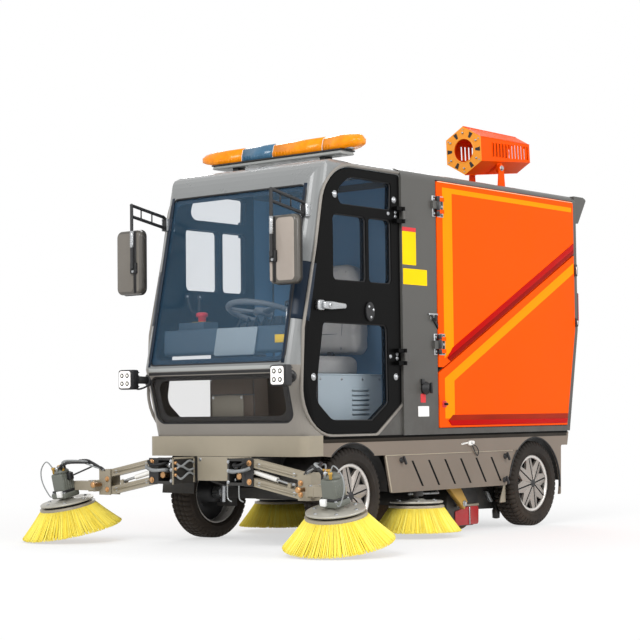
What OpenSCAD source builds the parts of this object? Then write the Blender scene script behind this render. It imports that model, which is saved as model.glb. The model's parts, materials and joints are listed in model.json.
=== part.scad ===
// Ride-on floor sweeper with an enclosed cab, four wheels, five brushes and a roof mist cannon.
// Millimetres, front towards -Y, +Z up, origin on the floor under the middle of the whole machine.
// Inside the modules, Y is the station: the distance behind the front axle.

/* [Running gear] */
// Distance between the axles
wheelbase = 1748; // [1700:1:1780]
// Outer diameter of a tyre
tyre_d = 508; // [490:1:510]
// Width of a tyre
tyre_w = 145; // [130:1:150]
// Distance between the middles of two tyres on one axle
track = 966; // [955:1:975]
// Distance between the two steering pins
kingpin_gap = 730; // [720:1:736]

/* [Cab] */
// Width of the cab over its doors
cab_w = 1112; // [1100:1:1116]
// Lean of the windscreen from upright
screen_lean = 12; // [11:0.5:13]
// Lean of the nose below the ledge, the other way
nose_lean = 14.5; // [13:0.5:15]
// Radius of the two front corners seen from above
cab_corner_r = 85; // [70:5:95]
// Thickness of a cab door
door_t = 42; // [36:1:46]

/* [Rear body] */
// How far the rear body stands out of the cab on each side
body_step = 14; // [9:1:18]
// Height of the roof above the floor
roof_z = 2032; // [2020:2:2050]
// Thickness of the rear body's walls
wall = 30; // [26:1:34]
// How far the orange panels stand out of the body side
panel_proud = 5; // [3:1:6]

/* [Brushes] */
// Radius of a front brush at the bristle tips
front_brush_r = 277; // [270:1:280]
// Forward tilt of the front brushes
brush_tilt = 11.5; // [10:0.5:12]
// Outward tilt of the front brushes
brush_cant = 3; // [2:0.5:3]
// Radius of a mid brush at the bristle tips
mid_brush_r = 248; // [240:1:256]
// Radius of the cross roller
roller_r = 138; // [130:1:142]
// Slope of the brush arms, downwards to the outside
arm_slope = 10.7; // [9:0.1:12]
// Length of an arm link between its pins
arm_l = 350; // [340:1:360]

/* [Mist cannon] */
// Corner radius of the hexagonal barrel at its mouth
cannon_front_r = 148; // [140:1:156]
// Corner radius of the barrel at its rear end
cannon_rear_r = 113; // [108:1:120]
// Length of the barrel
cannon_l = 580; // [560:2:600]

/* [Hidden] */
$fn = 64;

orange = "#ff6600";
body_grey = "#646260";
trim_grey = "#8f887a";
frame_black = "#1c1d1f";
steel = "#9aa0a0";
bristle_yellow = "#ffe030";
glass_blue = "#45586a";

// Wheels and axles
tyre_r = tyre_d / 2;
body_w = cab_w + 2 * body_step;
cab_half = cab_w / 2;
body_half = body_w / 2;
wheel_x = track / 2;
rim_r = 171;
kingpin_x = kingpin_gap / 2;
beam_x = kingpin_x - 47;
pin_r = 12;
run_gap = 0.3;

// Heights of the body's horizontal lines
sill_z = 565;
floor_t = 35;
cab_floor_z = sill_z + 20;
band_z = 460;
bumper_z = 468;
bumper_h = 106;
bumper_s = -396;
bumper_t = 18;
skirt_z = 255;
ledge_z = 940;
arch_r = 276;

// Stations of the body's upright lines
nose_s = -472;
cab_rear_s = 436;
bulkhead_s = cab_rear_s + 184;
panel_front_s = cab_rear_s + 322;
panel_rear_s = wheelbase + 457;
panel_low_rear_s = wheelbase + 345;
rear_s = wheelbase + 497;
rear_low_s = wheelbase + 382;
visor_s = wheelbase + 635;
rear_knee_z = 1190;
panel_top_z = 1990;
panel_low_z = 602;
seam_front_z = 912;
seam_rear_z = 1660;
seam_gap = 6;

// Frame
rail_x = 215;
rail_w = 50;
rail_h = 90;
rail_z = sill_z - rail_h;
rail_front_s = -330;
rail_rear_s = wheelbase + 312;
band_x = body_half - 24;
band_t = 14;
bumper_half_w = body_half - 6;
bumper_end_s = -250;
mid_brush_s = 0.36 * wheelbase;
roller_s = 0.692 * wheelbase;
beam_w = 60;
outrigger_ss = [330, mid_brush_s - beam_w / 2, wheelbase - 618, wheelbase + 237];
cross_ss = [rail_front_s, 360, 620, wheelbase - 588, wheelbase - 308, wheelbase + 252];
tow_s = rail_rear_s + 34;
tow_hole_r = 14;
jack_ss = [480, wheelbase - 448];
jack_pad = [44, 60, 10];
post_s = wheelbase + 242;
post_w = 60;

// Leaf springs: half length, rise and lowest height
front_spring = [320, 70, 284];
rear_spring = [330, 70, 296];
leaf_w = 44;
leaf_t = 16;
hanger_t = 6;

// Front brushes and their arms
front_brush_x = 952;
front_brush_s = -607;
brush_lift = 6;
bristle_h = 130;
ring_r = 150;
brush_axis = [cos(brush_tilt) * sin(brush_cant), -sin(brush_tilt), cos(brush_tilt) * cos(brush_cant)];
front_brush_z = brush_lift + front_brush_r * sqrt(1 - pow(brush_axis[2], 2));
arm_x = 350;
arm_s = -545;
arm_top_z = 440;
arm_gap_z = 95;
arm_w = 50;
arm_h = 40;
arm_pin_r = 8;
clevis_t = 8;
clevis_gap = arm_w + 10;
arm_dx = arm_l * cos(arm_slope);
arm_dz = -arm_l * sin(arm_slope);

// Mid brushes and roller
mid_brush_x = body_half - 70;
mid_brush_z = 32;
roller_l = 760;
roller_lift = 4;

// The machine's middle is halfway between the brush tips in front and the visor behind
front_reach = front_brush_r * cos(brush_tilt) - front_brush_s;
axle_y = (front_reach - visor_s) / 2;

// Roof pieces
light_bar_s = 94;
light_bar_l = cab_w + 38;
cannon_x = 243;
cannon_s = wheelbase - 243;
cannon_z = 2275;
cannon_pitch = 3.2;
cannon_pivot_s = cannon_s + 240;
cannon_pivot_z = cannon_z - 95;
cannon_wall = 5;

// Cab doors: outline columns are station, height, corner radius
door_outline = [
  [-404, 584, 236], [-372, 1130, 0], [-268, 1560, 300], [-182, 1988, 240],
  [431, 1988, 12], [431, 744, 12], [205, 584, 50]
];
door_windows = [
  [[-115, 1790, 45], [356, 1790, 20], [364, 1940, 20], [0, 1944, 130], [-85, 1880, 30]],
  [[-142, 1386, 30], [136, 1386, 25], [136, 1736, 25], [-142, 1736, 30]],
  [[160, 1386, 25], [358, 1386, 30], [358, 1736, 30], [160, 1736, 25]],
  [[-228, 1164, 30], [314, 1162, 30], [318, 740, 30], [176, 648, 30], [-160, 650, 110], [-300, 760, 80]]
];
hinge_x = body_half + 17;
hinge_s = cab_rear_s - 2.5;
hinge_zs = [991, 1768];
side_hinge_x = body_half + panel_proud + 12;
side_hinge_s = panel_front_s - 4;
side_hinge_zs = [1064, 1851];
hinge_r = 9;
hinge_pin_r = 5;
hinge_h = 90;

// Helpers

// Rounded outline: each point is [x, y, corner radius]
function unit2(v) = v / norm(v);
function corner(a, b, c, r) =
  let (
    u = unit2([a[0] - b[0], a[1] - b[1]]),
    w = unit2([c[0] - b[0], c[1] - b[1]]),
    half = acos(max(-1, min(1, u * w))) / 2,
    d = r / tan(half),
    centre = [b[0], b[1]] + unit2(u + w) * (r / sin(half)),
    p = [b[0], b[1]] + u * d,
    turn = 180 - 2 * half,
    way = (u[0] * w[1] - u[1] * w[0]) > 0 ? -1 : 1,
    steps = max(2, ceil(turn / 12)),
    start = atan2(p[1] - centre[1], p[0] - centre[0])
  )
  [
    for (i = [0:steps])
      let (at = start + way * turn * i / steps)
      centre + r * [cos(at), sin(at)]
  ];
function rounded(pts) =
  let (n = len(pts))
  [
    for (i = [0:n - 1])
      each pts[i][2] > 0
        ? corner(pts[(i + n - 1) % n], pts[i], pts[(i + 1) % n], pts[i][2])
        : [[pts[i][0], pts[i][1]]]
  ];
function box_pts(x0, z0, x1, z1, r) = [[x0, z0, r], [x1, z0, r], [x1, z1, r], [x0, z1, r]];

module outline(pts) {
  polygon(rounded(pts));
}

// Colours a sub-part and moves it from stations to the machine's own frame
module part(shade) {
  color(shade) translate([0, axle_y, 0]) children();
}

// Extrudes a station and height outline across the machine, middle on the centre plane
module across(w) {
  rotate([90, 0, 90]) translate([0, 0, -w / 2]) linear_extrude(w) children();
}

// Extrudes a station and height outline outwards from x0
module slab(x0, t) {
  translate([x0, 0, 0]) rotate([90, 0, 90]) linear_extrude(t) children();
}

module both_sides() {
  children();
  mirror([1, 0, 0]) children();
}

module box(x0, s0, z0, x1, s1, z1) {
  translate([x0, s0, z0]) cube([x1 - x0, s1 - s0, z1 - z0]);
}

// Round bar between two points
module rod(a, b, r) {
  d = b - a;
  translate(a)
    rotate([0, acos(d[2] / norm(d)), atan2(d[1], d[0])])
      cylinder(h = norm(d), r = r, $fn = 32);
}

module pin_x(x, s, z, r, l) {
  translate([x, s, z]) rotate([0, 90, 0]) cylinder(h = l, r = r);
}

module pin_y(x, s, z, r, l) {
  translate([x, s - l / 2, z]) rotate([-90, 0, 0]) cylinder(h = l, r = r);
}

// Bent flat spring over one rail: an arc, lowest at its middle
module leaf(spring) {
  half_l = spring[0];
  rise = spring[1];
  r = (half_l * half_l + rise * rise) / (2 * rise);
  translate([rail_x, 0, spring[2]]) across(leaf_w) intersection() {
    translate([0, r]) difference() {
      circle(r, $fn = 180);
      circle(r - leaf_t, $fn = 180);
    }
    translate([-half_l, -1]) square([2 * half_l, rise + leaf_t + 2]);
  }
}

// Chassis

module chassis_frame() {
  part(frame_black) difference() {
    union() {
      both_sides() {
        box(rail_x - rail_w / 2, rail_front_s, rail_z, rail_x + rail_w / 2, rail_rear_s, rail_z + rail_h);
        for (s = jack_ss)
          translate([rail_x - jack_pad[0] / 2, s - jack_pad[1] / 2, rail_z - jack_pad[2]]) cube(jack_pad);
        arm_bracket();
        spring_hangers(0, front_spring);
        spring_hangers(wheelbase, rear_spring);
        for (s = outrigger_ss)
          box(rail_x, s, rail_z, band_x, s + beam_w, rail_z + 40);
        mid_brush_motor();
      }
      for (s = cross_ss)
        box(-rail_x, s, rail_z + 10, rail_x, s + beam_w, rail_z + rail_h - 5);
      box(-200, -395, 340, 200, rail_front_s, sill_z - 100);
      box(-rail_x, bumper_s + bumper_t, rail_z - 20, rail_x, rail_front_s, rail_z + 60);
      box(-40, rail_rear_s, rail_z + 20, 40, tow_s + 26, rail_z + 40);
      box(-70, rail_rear_s - 20, rail_z + 10, 70, rail_rear_s + 2, rail_z + 70);
    }
    translate([0, tow_s, rail_z]) cylinder(h = 80, r = tow_hole_r);
  }
}

// Box beside the apron with a fork that carries both links and the cylinder
module arm_bracket() {
  case_x = [200, 320];
  case_s = [-585, -395];
  case_z = [325, 462];
  side_t = 12;
  floor_up = 15;
  tie_x = 190;
  fork_tip_x = arm_x + 22;
  difference() {
    box(case_x[0], case_s[0], case_z[0], case_x[1], case_s[1], case_z[1]);
    translate([0, -15, 0])
      box(case_x[0] + side_t, case_s[0], case_z[0] + floor_up, case_x[1] - 20, case_s[1], case_z[1] - side_t);
  }
  for (side = [-1, 1])
    translate([0, arm_s + side * (clevis_gap + clevis_t) / 2, 0])
      box(case_x[1] - 5, -clevis_t / 2, case_z[0] - 3, fork_tip_x, clevis_t / 2, case_z[1]);
  box(tie_x, case_s[1] - 5, case_z[0] + floor_up, case_x[1], rail_front_s, case_z[1]);
  box(tie_x, bumper_s + bumper_t, case_z[0] + floor_up, case_x[1], rail_front_s, rail_z + 40);
  for (dz = [0, -arm_gap_z])
    pin_y(arm_x, arm_s, arm_top_z + dz, arm_pin_r, clevis_gap + 2 * clevis_t);
  pin_y(cylinder_foot[0], arm_s, cylinder_foot[1], cylinder_pin_r, clevis_gap + 2 * clevis_t);
}

// Hanger plates on one rail, on both flanks of a spring's ends around an axle at station s0
module spring_hangers(s0, spring) {
  plate_half_l = 24;
  below_eye = 22;
  eye_z = spring[1] + spring[2];
  for (side = [-1, 1])
    for (face = [-1, 1])
      translate([rail_x + face * (leaf_w + hanger_t) / 2, s0 + side * (spring[0] - 8), 0])
        box(-hanger_t / 2, -plate_half_l, eye_z - below_eye, hanger_t / 2, plate_half_l, rail_z + 5);
}

// Hydraulic motor over each mid brush, hung from the outrigger
module mid_brush_motor() {
  motor_z = 225;
  motor_r = 38;
  shaft_z = 180;
  translate([mid_brush_x, mid_brush_s, motor_z]) cylinder(h = rail_z - motor_z + 10, r = motor_r);
  translate([mid_brush_x, mid_brush_s, shaft_z]) cylinder(h = 60, r = pin_r);
}

// Beam with a fork at each end, whose two lugs hold the kingpin
module front_axle() {
  half_d = 32;
  beam_low_z = 226;
  fork_z = [180, 328];
  fork_in = beam_x - 18;
  lug_t = 21;
  part(frame_black) {
    box(-beam_x, -half_d, beam_low_z, beam_x, half_d, front_spring[2]);
    both_sides() {
      box(fork_in, -half_d, fork_z[0], beam_x + 4, half_d, fork_z[1]);
      for (z = [fork_z[0], fork_z[1] - lug_t])
        box(fork_in, -half_d, z, kingpin_x + 28, half_d, z + lug_t);
      translate([kingpin_x, 0, fork_z[0]]) cylinder(h = fork_z[1] - fork_z[0], r = pin_r);
      leaf(front_spring);
    }
  }
}

// Tube axle with a round gear case, stub shafts for the wheels and the drive motor in front of the case
module rear_axle() {
  tube_l = 804;
  tube_r = 42;
  case_w = 190;
  case_r = 118;
  stub_r = 20;
  motor_l = 200;
  motor_r = 78;
  part(frame_black) {
    translate([0, wheelbase, tyre_r]) {
      pin_x(-tube_l / 2, 0, 0, tube_r, tube_l);
      pin_x(-case_w / 2, 0, 0, case_r, case_w);
      pin_x(-wheel_x - 20, 0, 0, stub_r, track + 40);
      translate([0, -30 - motor_l, 20]) rotate([-90, 0, 0]) cylinder(h = motor_l, r = motor_r);
    }
    both_sides() translate([0, wheelbase, 0]) leaf(rear_spring);
  }
}

module battery_pack() {
  half_w = body_half - 100;
  rear_end_s = wheelbase - 408;
  top_z = 900;
  part("#3a3d40") box(-half_w, panel_front_s + 42, sill_z + floor_t, half_w, rear_end_s, top_z);
}

// Body below the sill

module bumper() {
  corner_r = 45;
  inner_corner_r = 28;
  inner_half_w = bumper_half_w - 20;
  part(trim_grey) difference() {
    translate([0, 0, bumper_z]) linear_extrude(bumper_h) outline([
      [-bumper_half_w, bumper_end_s, 0], [-bumper_half_w, bumper_s, corner_r],
      [bumper_half_w, bumper_s, corner_r], [bumper_half_w, bumper_end_s, 0]
    ]);
    translate([0, 0, bumper_z - 1]) linear_extrude(bumper_h + 2) outline([
      [-inner_half_w, bumper_end_s + 10, 0], [-inner_half_w, bumper_s + bumper_t, inner_corner_r],
      [inner_half_w, bumper_s + bumper_t, inner_corner_r], [inner_half_w, bumper_end_s + 10, 0]
    ]);
  }
}

// Flat band under the sill with both wheel arches, dropping behind the rear wheel
module side_bands() {
  top_z = sill_z - 5;
  drop_z = 178;
  tail_z = 478;
  drop_rear_s = wheelbase + 292;
  part(trim_grey) both_sides() slab(band_x, band_t) difference() {
    outline([
      [bumper_end_s, bumper_z, 0], [-160, band_z, 0], [wheelbase - 188, band_z, 0], [wheelbase - 48, drop_z, 0],
      [drop_rear_s - 10, drop_z, 12], [drop_rear_s, tail_z, 12], [rear_low_s - 18, tail_z, 6],
      [rear_low_s, top_z, 6], [bumper_end_s, top_z, 0]
    ]);
    for (s = [0, wheelbase])
      translate([s, tyre_r]) circle(arch_r, $fn = 120);
  }
}

// Panels between the wheels with six slanting slots each
module skirt_panels() {
  slot_n = 6;
  slot_pitch = (wheelbase - 830) / slot_n;
  slot_w = 14;
  slot_drop = 138;
  slot_lean = 93;
  slot_top = [520, 422];
  panel_t = 10;
  corner_r = 15;
  part(trim_grey) both_sides() slab(band_x + 2, panel_t) difference() {
    outline([
      [325, skirt_z, corner_r], [wheelbase - 307, skirt_z, corner_r],
      [wheelbase - 237, band_z, 0], [276, band_z, 0]
    ]);
    for (i = [0:slot_n - 1])
      translate(slot_top + [i * slot_pitch, 0])
        polygon([
          [-slot_w / 2, 0], [slot_w / 2, 0],
          [slot_lean + slot_w / 2, -slot_drop], [slot_lean - slot_w / 2, -slot_drop]
        ]);
  }
}

// Cab

// Seen from above: straight sides with two round front corners, front edge on the origin
module cab_plan(inset) {
  w = cab_half - inset;
  r = cab_corner_r - inset;
  outline([[-w, inset, r], [w, inset, r], [w, 1500, 0], [-w, 1500, 0]]);
}

module upper_hull(inset) {
  translate([0, nose_s, ledge_z]) rotate([-screen_lean, 0, 0])
    translate([0, 0, -200]) linear_extrude(1500) cab_plan(inset);
}

module lower_hull(inset) {
  translate([0, nose_s, ledge_z]) rotate([nose_lean, 0, 0])
    translate([0, 0, -600]) linear_extrude(800) cab_plan(inset);
}

// Roof cross section along the machine, with rounded upper edges
module roof_section(w, s0, s1, drop) {
  translate([0, s1, 0]) rotate([90, 0, 0]) linear_extrude(s1 - s0)
    outline([
      [-w / 2 + drop, 300, 0], [w / 2 - drop, 300, 0],
      [w / 2 - drop, roof_z - drop, 55 - drop / 2], [-w / 2 + drop, roof_z - drop, 55 - drop / 2]
    ]);
}

// Side view of the upper cab; drop moves it inwards for the hollow
module upper_profile(drop) {
  lean = tan(screen_lean);
  top = roof_z - drop;
  front = nose_s + drop / cos(screen_lean);
  outline([
    [front, ledge_z, 0], [front + (top - ledge_z) * lean, top, 190 - drop],
    [cab_rear_s, top, 0], [cab_rear_s, ledge_z, 0]
  ]);
}

module door_opening(grow) {
  offset_pts = [
    for (p = door_outline)
      [p[0] + (p[0] < 0 ? -grow : grow), p[1] + (p[1] < 1000 ? -grow : p[1] > 1800 ? grow : 0), p[2]]
  ];
  outline(offset_pts);
}

// Floor plate with the sill under each door and the corner behind its slanting lower edge
module cab_floor() {
  part(body_grey) {
    box(51 - cab_half, -320, sill_z, cab_half - 51, bulkhead_s, cab_floor_z);
    both_sides() {
      box(cab_half - 66, cab_rear_s, sill_z, body_half - wall, bulkhead_s, cab_floor_z);
      slab(cab_half - door_t, door_t) difference() {
        outline([[-120, sill_z, 0], [cab_rear_s, sill_z, 0], [cab_rear_s, 770, 0], [-120, 770, 0]]);
        door_opening(5);
        translate([-400, cab_floor_z]) square([600, 300]);
      }
    }
  }
}

screen_half_w = cab_half - 66;
screen_pts = box_pts(-screen_half_w, 16, screen_half_w, 965, 45);
nose_window_pts = box_pts(-screen_half_w, -308, screen_half_w, -46, 55);

// Moves a width and slope-height outline onto the windscreen's plane, cut or filled to depth t
module on_screen(pts, y0, t) {
  translate([0, nose_s, ledge_z]) rotate([-screen_lean, 0, 0])
    translate([0, y0 + t, 0]) rotate([90, 0, 0]) linear_extrude(t) outline(pts);
}

module on_nose(pts, y0, t) {
  translate([0, nose_s, ledge_z]) rotate([nose_lean, 0, 0])
    translate([0, y0 + t, 0]) rotate([90, 0, 0]) linear_extrude(t) outline(pts);
}

module cab_nose() {
  part(body_grey) {
    difference() {
      intersection() {
        lower_hull(0);
        box(-cab_w, nose_s - 50, bumper_z + bumper_h, cab_w, -120, ledge_z);
      }
      intersection() {
        lower_hull(36);
        box(-cab_w, nose_s - 60, bumper_z, cab_w, 100, ledge_z + 1);
      }
      across(cab_w + 20) door_opening(5);
      on_nose(nose_window_pts, -40, 120);
    }
    box(106 - cab_half, nose_s - 14, ledge_z - 40, cab_half - 106, nose_s + 20, ledge_z);
  }
}

module cab_frame() {
  part(body_grey) difference() {
    intersection() {
      across(cab_w) upper_profile(0);
      upper_hull(0);
      roof_section(cab_w, nose_s - 50, cab_rear_s + 10, 0);
    }
    intersection() {
      across(cab_w - 2 * door_t) upper_profile(36);
      upper_hull(36);
      translate([0, 0, -1]) roof_section(cab_w, nose_s - 60, cab_rear_s + 20, 36);
    }
    box(-cab_half + 80, cab_rear_s - 60, ledge_z - 1, cab_half - 80, cab_rear_s + 20, 1950);
    across(cab_w + 20) door_opening(5);
    on_screen(screen_pts, -40, 110);
  }
}

module cab_glass() {
  part(glass_blue) {
    on_screen(screen_pts, 8, 7);
    on_nose(nose_window_pts, 8, 7);
  }
}

// Rear hinged door: leaf with four windows, hinge straps with bored knuckles
module cab_door() {
  intersection() {
    difference() {
      slab(cab_half - door_t, door_t) outline(door_outline);
      for (w = door_windows)
        slab(cab_half - door_t - 5, door_t + 10) outline(w);
    }
    union() {
      intersection() {
        upper_hull(0);
        box(0, nose_s, ledge_z, cab_w, 800, roof_z);
      }
      intersection() {
        lower_hull(0);
        box(0, nose_s, 400, cab_w, 800, ledge_z);
      }
    }
  }
  for (z = hinge_zs)
    for (dz = [-hinge_h / 2, hinge_h / 4 + 1])
      hinge_leaf(z + dz, hinge_h / 4 - 1, cab_half - 1, hinge_x, hinge_s, -60);
  door_handle();
}

// Bar handle on two feet
module door_handle() {
  grip = [14, 196, 26];
  grip_at = [cab_half + 18, -255, 1236];
  foot_l = 22;
  translate(grip_at) cube(grip);
  for (s = [-240, -80])
    box(cab_half - 1, s, grip_at[2] + 4, grip_at[0] + 2, s + foot_l, grip_at[2] + grip[2] - 4);
}

// One knuckle with its strap reaching back onto the panel over a length
module hinge_leaf(z, h, face_x, pin_x0, pin_s, reach) {
  difference() {
    union() {
      translate([pin_x0, pin_s, z]) cylinder(h = h, r = hinge_r);
      box(face_x, min(pin_s, pin_s + reach), z, pin_x0, max(pin_s, pin_s + reach), z + h);
    }
    translate([pin_x0, pin_s, z - 1]) cylinder(h = h + 2, r = hinge_pin_r + run_gap);
  }
}

// Fixed half of a hinge: middle knuckle, strap and the pin through both halves
module hinge_post(z, face_x, pin_x0, pin_s, reach) {
  translate([pin_x0, pin_s, z - hinge_h / 4]) cylinder(h = hinge_h / 2, r = hinge_r);
  box(face_x, min(pin_s, pin_s + reach), z - hinge_h / 4, pin_x0, max(pin_s, pin_s + reach), z + hinge_h / 4);
  translate([pin_x0, pin_s, z - hinge_h / 2]) cylinder(h = hinge_h, r = hinge_pin_r);
}

module cab_door_left() {
  part(frame_black) cab_door();
}

module cab_door_right() {
  part(frame_black) mirror([1, 0, 0]) cab_door();
}

module door_glass() {
  for (w = door_windows)
    slab(cab_half - door_t / 2, 6) outline(w);
}

module door_glass_left() {
  part(glass_blue) door_glass();
}

module door_glass_right() {
  part(glass_blue) mirror([1, 0, 0]) door_glass();
}

// Rear body

module body_profile(drop) {
  outline([
    [cab_rear_s, sill_z + drop, 0], [cab_rear_s, roof_z - drop, 0], [rear_s - drop, roof_z - drop, 0],
    [rear_s - drop, rear_knee_z, 0], [rear_low_s - drop, sill_z + drop, 0]
  ]);
}

// All that is orange on one side, as one station and height outline
module panel_area(grow) {
  outline([
    [panel_front_s - grow, panel_low_z - grow, 0], [panel_low_rear_s + grow, panel_low_z - grow, 0],
    [panel_rear_s + grow, rear_knee_z, 0], [panel_rear_s + grow, panel_top_z + grow, 0],
    [panel_front_s - grow, panel_top_z + grow, 0]
  ]);
}

tailgate_half_w = body_half - 60;
tailgate_top_z = 1842;
tailgate_low_z = 606;
visor_low_z = 1862;
function rear_face(z) = z > rear_knee_z
  ? rear_s
  : rear_s - (rear_s - rear_low_s) * (rear_knee_z - z) / (rear_knee_z - sill_z);

module tailgate_strip(grow) {
  outline([
    [rear_face(tailgate_low_z) - wall - grow, tailgate_low_z - grow, 0],
    [rear_face(tailgate_low_z) + grow, tailgate_low_z - grow, 0],
    [rear_s + grow, rear_knee_z, 0], [rear_s + grow, tailgate_top_z + grow, 0],
    [rear_s - wall - grow, tailgate_top_z + grow, 0], [rear_s - wall - grow, rear_knee_z, 0]
  ]);
}

module body_shell() {
  part(body_grey) {
    difference() {
      intersection() {
        across(body_w) body_profile(0);
        roof_section(body_w, cab_rear_s - 10, rear_s + 10, 0);
      }
      across(body_w - 2 * wall) body_profile(wall);
      box(-body_half + wall, cab_rear_s - 10, sill_z - 10, body_half - wall, bulkhead_s, roof_z - wall);
      across(body_w + 20) panel_area(5);
      across(2 * tailgate_half_w + 10) tailgate_strip(5);
    }
    box(-body_half + wall, bulkhead_s, sill_z, body_half - wall, rear_low_s - wall, sill_z + floor_t);
    box(-body_half + wall, bulkhead_s, sill_z, body_half - wall, bulkhead_s + wall, roof_z - wall);
    both_sides() {
      box(body_half - wall - 40, post_s, sill_z + floor_t, body_half - wall, post_s + post_w, roof_z - wall);
      for (z = hinge_zs)
        hinge_post(z, body_half - 1, hinge_x, hinge_s, 46);
      for (z = side_hinge_zs)
        hinge_post(z, body_half - 1, side_hinge_x, side_hinge_s, -46);
    }
    tailgate_hinges_fixed();
  }
}

// Height of the slanting seam between the side door and the panel under it
function seam_z(s) =
  seam_front_z + (seam_rear_z - seam_front_z) * (s - panel_front_s) / (panel_rear_s - panel_front_s);

// The lower corner beside the hinges is level, so that it clears the panel below as the door swings
module side_door() {
  swing_room = 44;
  slab(body_half - wall + panel_proud, wall) intersection() {
    panel_area(0);
    outline([
      [panel_front_s, seam_z(panel_front_s + swing_room) + seam_gap, 0],
      [panel_front_s + swing_room, seam_z(panel_front_s + swing_room) + seam_gap, 0],
      [panel_rear_s, seam_z(panel_rear_s) + seam_gap, 0],
      [panel_rear_s, panel_top_z, 20], [panel_front_s, panel_top_z, 20]
    ]);
  }
  for (z = side_hinge_zs)
    for (dz = [-hinge_h / 2, hinge_h / 4 + 1])
      hinge_leaf(z + dz, hinge_h / 4 - 1, body_half + panel_proud - 1, side_hinge_x, side_hinge_s, 60);
}

module side_door_left() {
  part(orange) side_door();
}

module side_door_right() {
  part(orange) mirror([1, 0, 0]) side_door();
}

// Fixed panel under the seam, held to the shell by ledges behind its edges
module lower_side_panels() {
  part(orange) both_sides() {
    slab(body_half - wall + panel_proud, wall) intersection() {
      panel_area(0);
      outline([
        [panel_front_s, panel_low_z - 5, 0], [panel_rear_s, panel_low_z - 5, 0],
        [panel_rear_s, seam_z(panel_rear_s) - seam_gap, 0],
        [panel_front_s, seam_z(panel_front_s) - seam_gap, 0]
      ]);
    }
    for (z = [700, 1100, 1400])
      box(body_half - wall, post_s + 5, z, body_half - wall + 10, post_s + post_w - 5, z + 60);
    box(body_half - wall - 20, panel_front_s + 42, sill_z + floor_t, body_half - wall + 10, post_s - 30, 640);
  }
}

module roof_visor() {
  part(body_grey) across(body_w - 20) outline([
    [rear_s, roof_z - 30, 0], [rear_s, visor_low_z, 0], [rear_s + 43, visor_low_z, 8],
    [visor_s, roof_z - 22, 0], [visor_s, roof_z - 12, 10], [visor_s - 30, roof_z, 12], [rear_s, roof_z, 0]
  ]);
}

tail_hinge_s = rear_s + 14;
tail_hinge_z = 1840;
tail_hinge_xs = [180 - tailgate_half_w, tailgate_half_w - 180];
tail_knuckle_l = 44;

module tailgate_hinges_fixed() {
  half = tail_knuckle_l / 2;
  for (x = tail_hinge_xs) {
    pin_x(x - half, tail_hinge_s, tail_hinge_z, hinge_r, tail_knuckle_l);
    pin_x(x - tail_knuckle_l, tail_hinge_s, tail_hinge_z, hinge_pin_r, 2 * tail_knuckle_l);
    box(x - half, rear_s - 5, tail_hinge_z + 7, x + half, tail_hinge_s, visor_low_z);
    box(x - half, tail_hinge_s - 6, tail_hinge_z, x + half, tail_hinge_s + 6, visor_low_z);
  }
}

module tailgate() {
  knuckle_l = 20;
  handle_z = 800;
  part(body_grey) {
    difference() {
      across(2 * tailgate_half_w) tailgate_strip(0);
      for (x = tail_hinge_xs)
        box(x - 26, rear_s - wall - 5, tail_hinge_z - 14, x + 26, rear_s + 5, tailgate_top_z + 5);
    }
    for (x = tail_hinge_xs)
      for (dx = [-tail_knuckle_l, tail_knuckle_l - knuckle_l])
        difference() {
          union() {
            pin_x(x + dx, tail_hinge_s, tail_hinge_z, hinge_r, knuckle_l);
            box(x + dx, rear_s - 2, tail_hinge_z - 60, x + dx + knuckle_l, rear_s + 8, tail_hinge_z);
          }
          pin_x(x + dx - 1, tail_hinge_s, tail_hinge_z, hinge_pin_r + run_gap, knuckle_l + 2);
        }
    box(-60, rear_face(handle_z) - 2, handle_z - 10, 60, rear_face(handle_z) + 22, handle_z + 12);
  }
}

module tail_lamps() {
  lamp_z = [1240, 1420];
  lamp_t = 22;
  part("#b01812") both_sides()
    box(body_half - 48, rear_s, lamp_z[0], body_half - 4, rear_s + lamp_t, lamp_z[1]);
}

// Cab fittings

seat_box_z = 900;

// Open-bottomed box with a row of louvres in its left wall
module seat_base() {
  half_w = 390;
  ends_s = [-80, 470];
  sheet = 15;
  louvres = 6;
  louvre_pitch = 26;
  louvre_h = 8;
  louvre_low_z = 675;
  louvre_s = [208, 354];
  part("#aab4bd") difference() {
    box(-half_w, ends_s[0], cab_floor_z, half_w, ends_s[1], seat_box_z);
    translate([0, 0, -sheet])
      box(sheet - half_w, ends_s[0] + sheet, cab_floor_z, half_w - sheet, ends_s[1] - sheet, seat_box_z);
    for (z = [louvre_low_z:louvre_pitch:louvre_low_z + louvre_pitch * (louvres - 1)])
      box(half_w - sheet - 5, louvre_s[0], z, half_w + 10, louvre_s[1], z + louvre_h);
  }
}

// Cushion, leaning back and the bracket between them
module seat_pads() {
  pad_t = 95;
  pad_half_w = 250;
  pad_s = [-60, 430];
  pad_front_r = 60;
  pad_rear_r = 40;
  back_w = 470;
  back_z = [1000, 1540];
  bracket_half_w = 60;
  part("#8f979c") {
    translate([0, 0, seat_box_z + run_gap]) linear_extrude(pad_t) outline([
      [-pad_half_w, pad_s[0], pad_front_r], [pad_half_w, pad_s[0], pad_front_r],
      [pad_half_w, pad_s[1], pad_rear_r], [-pad_half_w, pad_s[1], pad_rear_r]
    ]);
    across(back_w) outline([
      [418, back_z[0], 30], [510, back_z[0], 30], [570, back_z[1], 45], [470, back_z[1], 45]
    ]);
    box(-bracket_half_w, pad_s[1] - 10, seat_box_z + 40, bracket_half_w, 500, back_z[0] + 30);
  }
}

wheel_tilt = 16;
steer_wheel_s = -70;
steer_wheel_z = 1240;
steer_wheel_r = 195;

// Moves from the steering wheel's own frame, axis along +Z, to its tilted place
module at_steering_wheel() {
  translate([0, steer_wheel_s, steer_wheel_z]) rotate([-wheel_tilt, 0, 0]) children();
}

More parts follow.
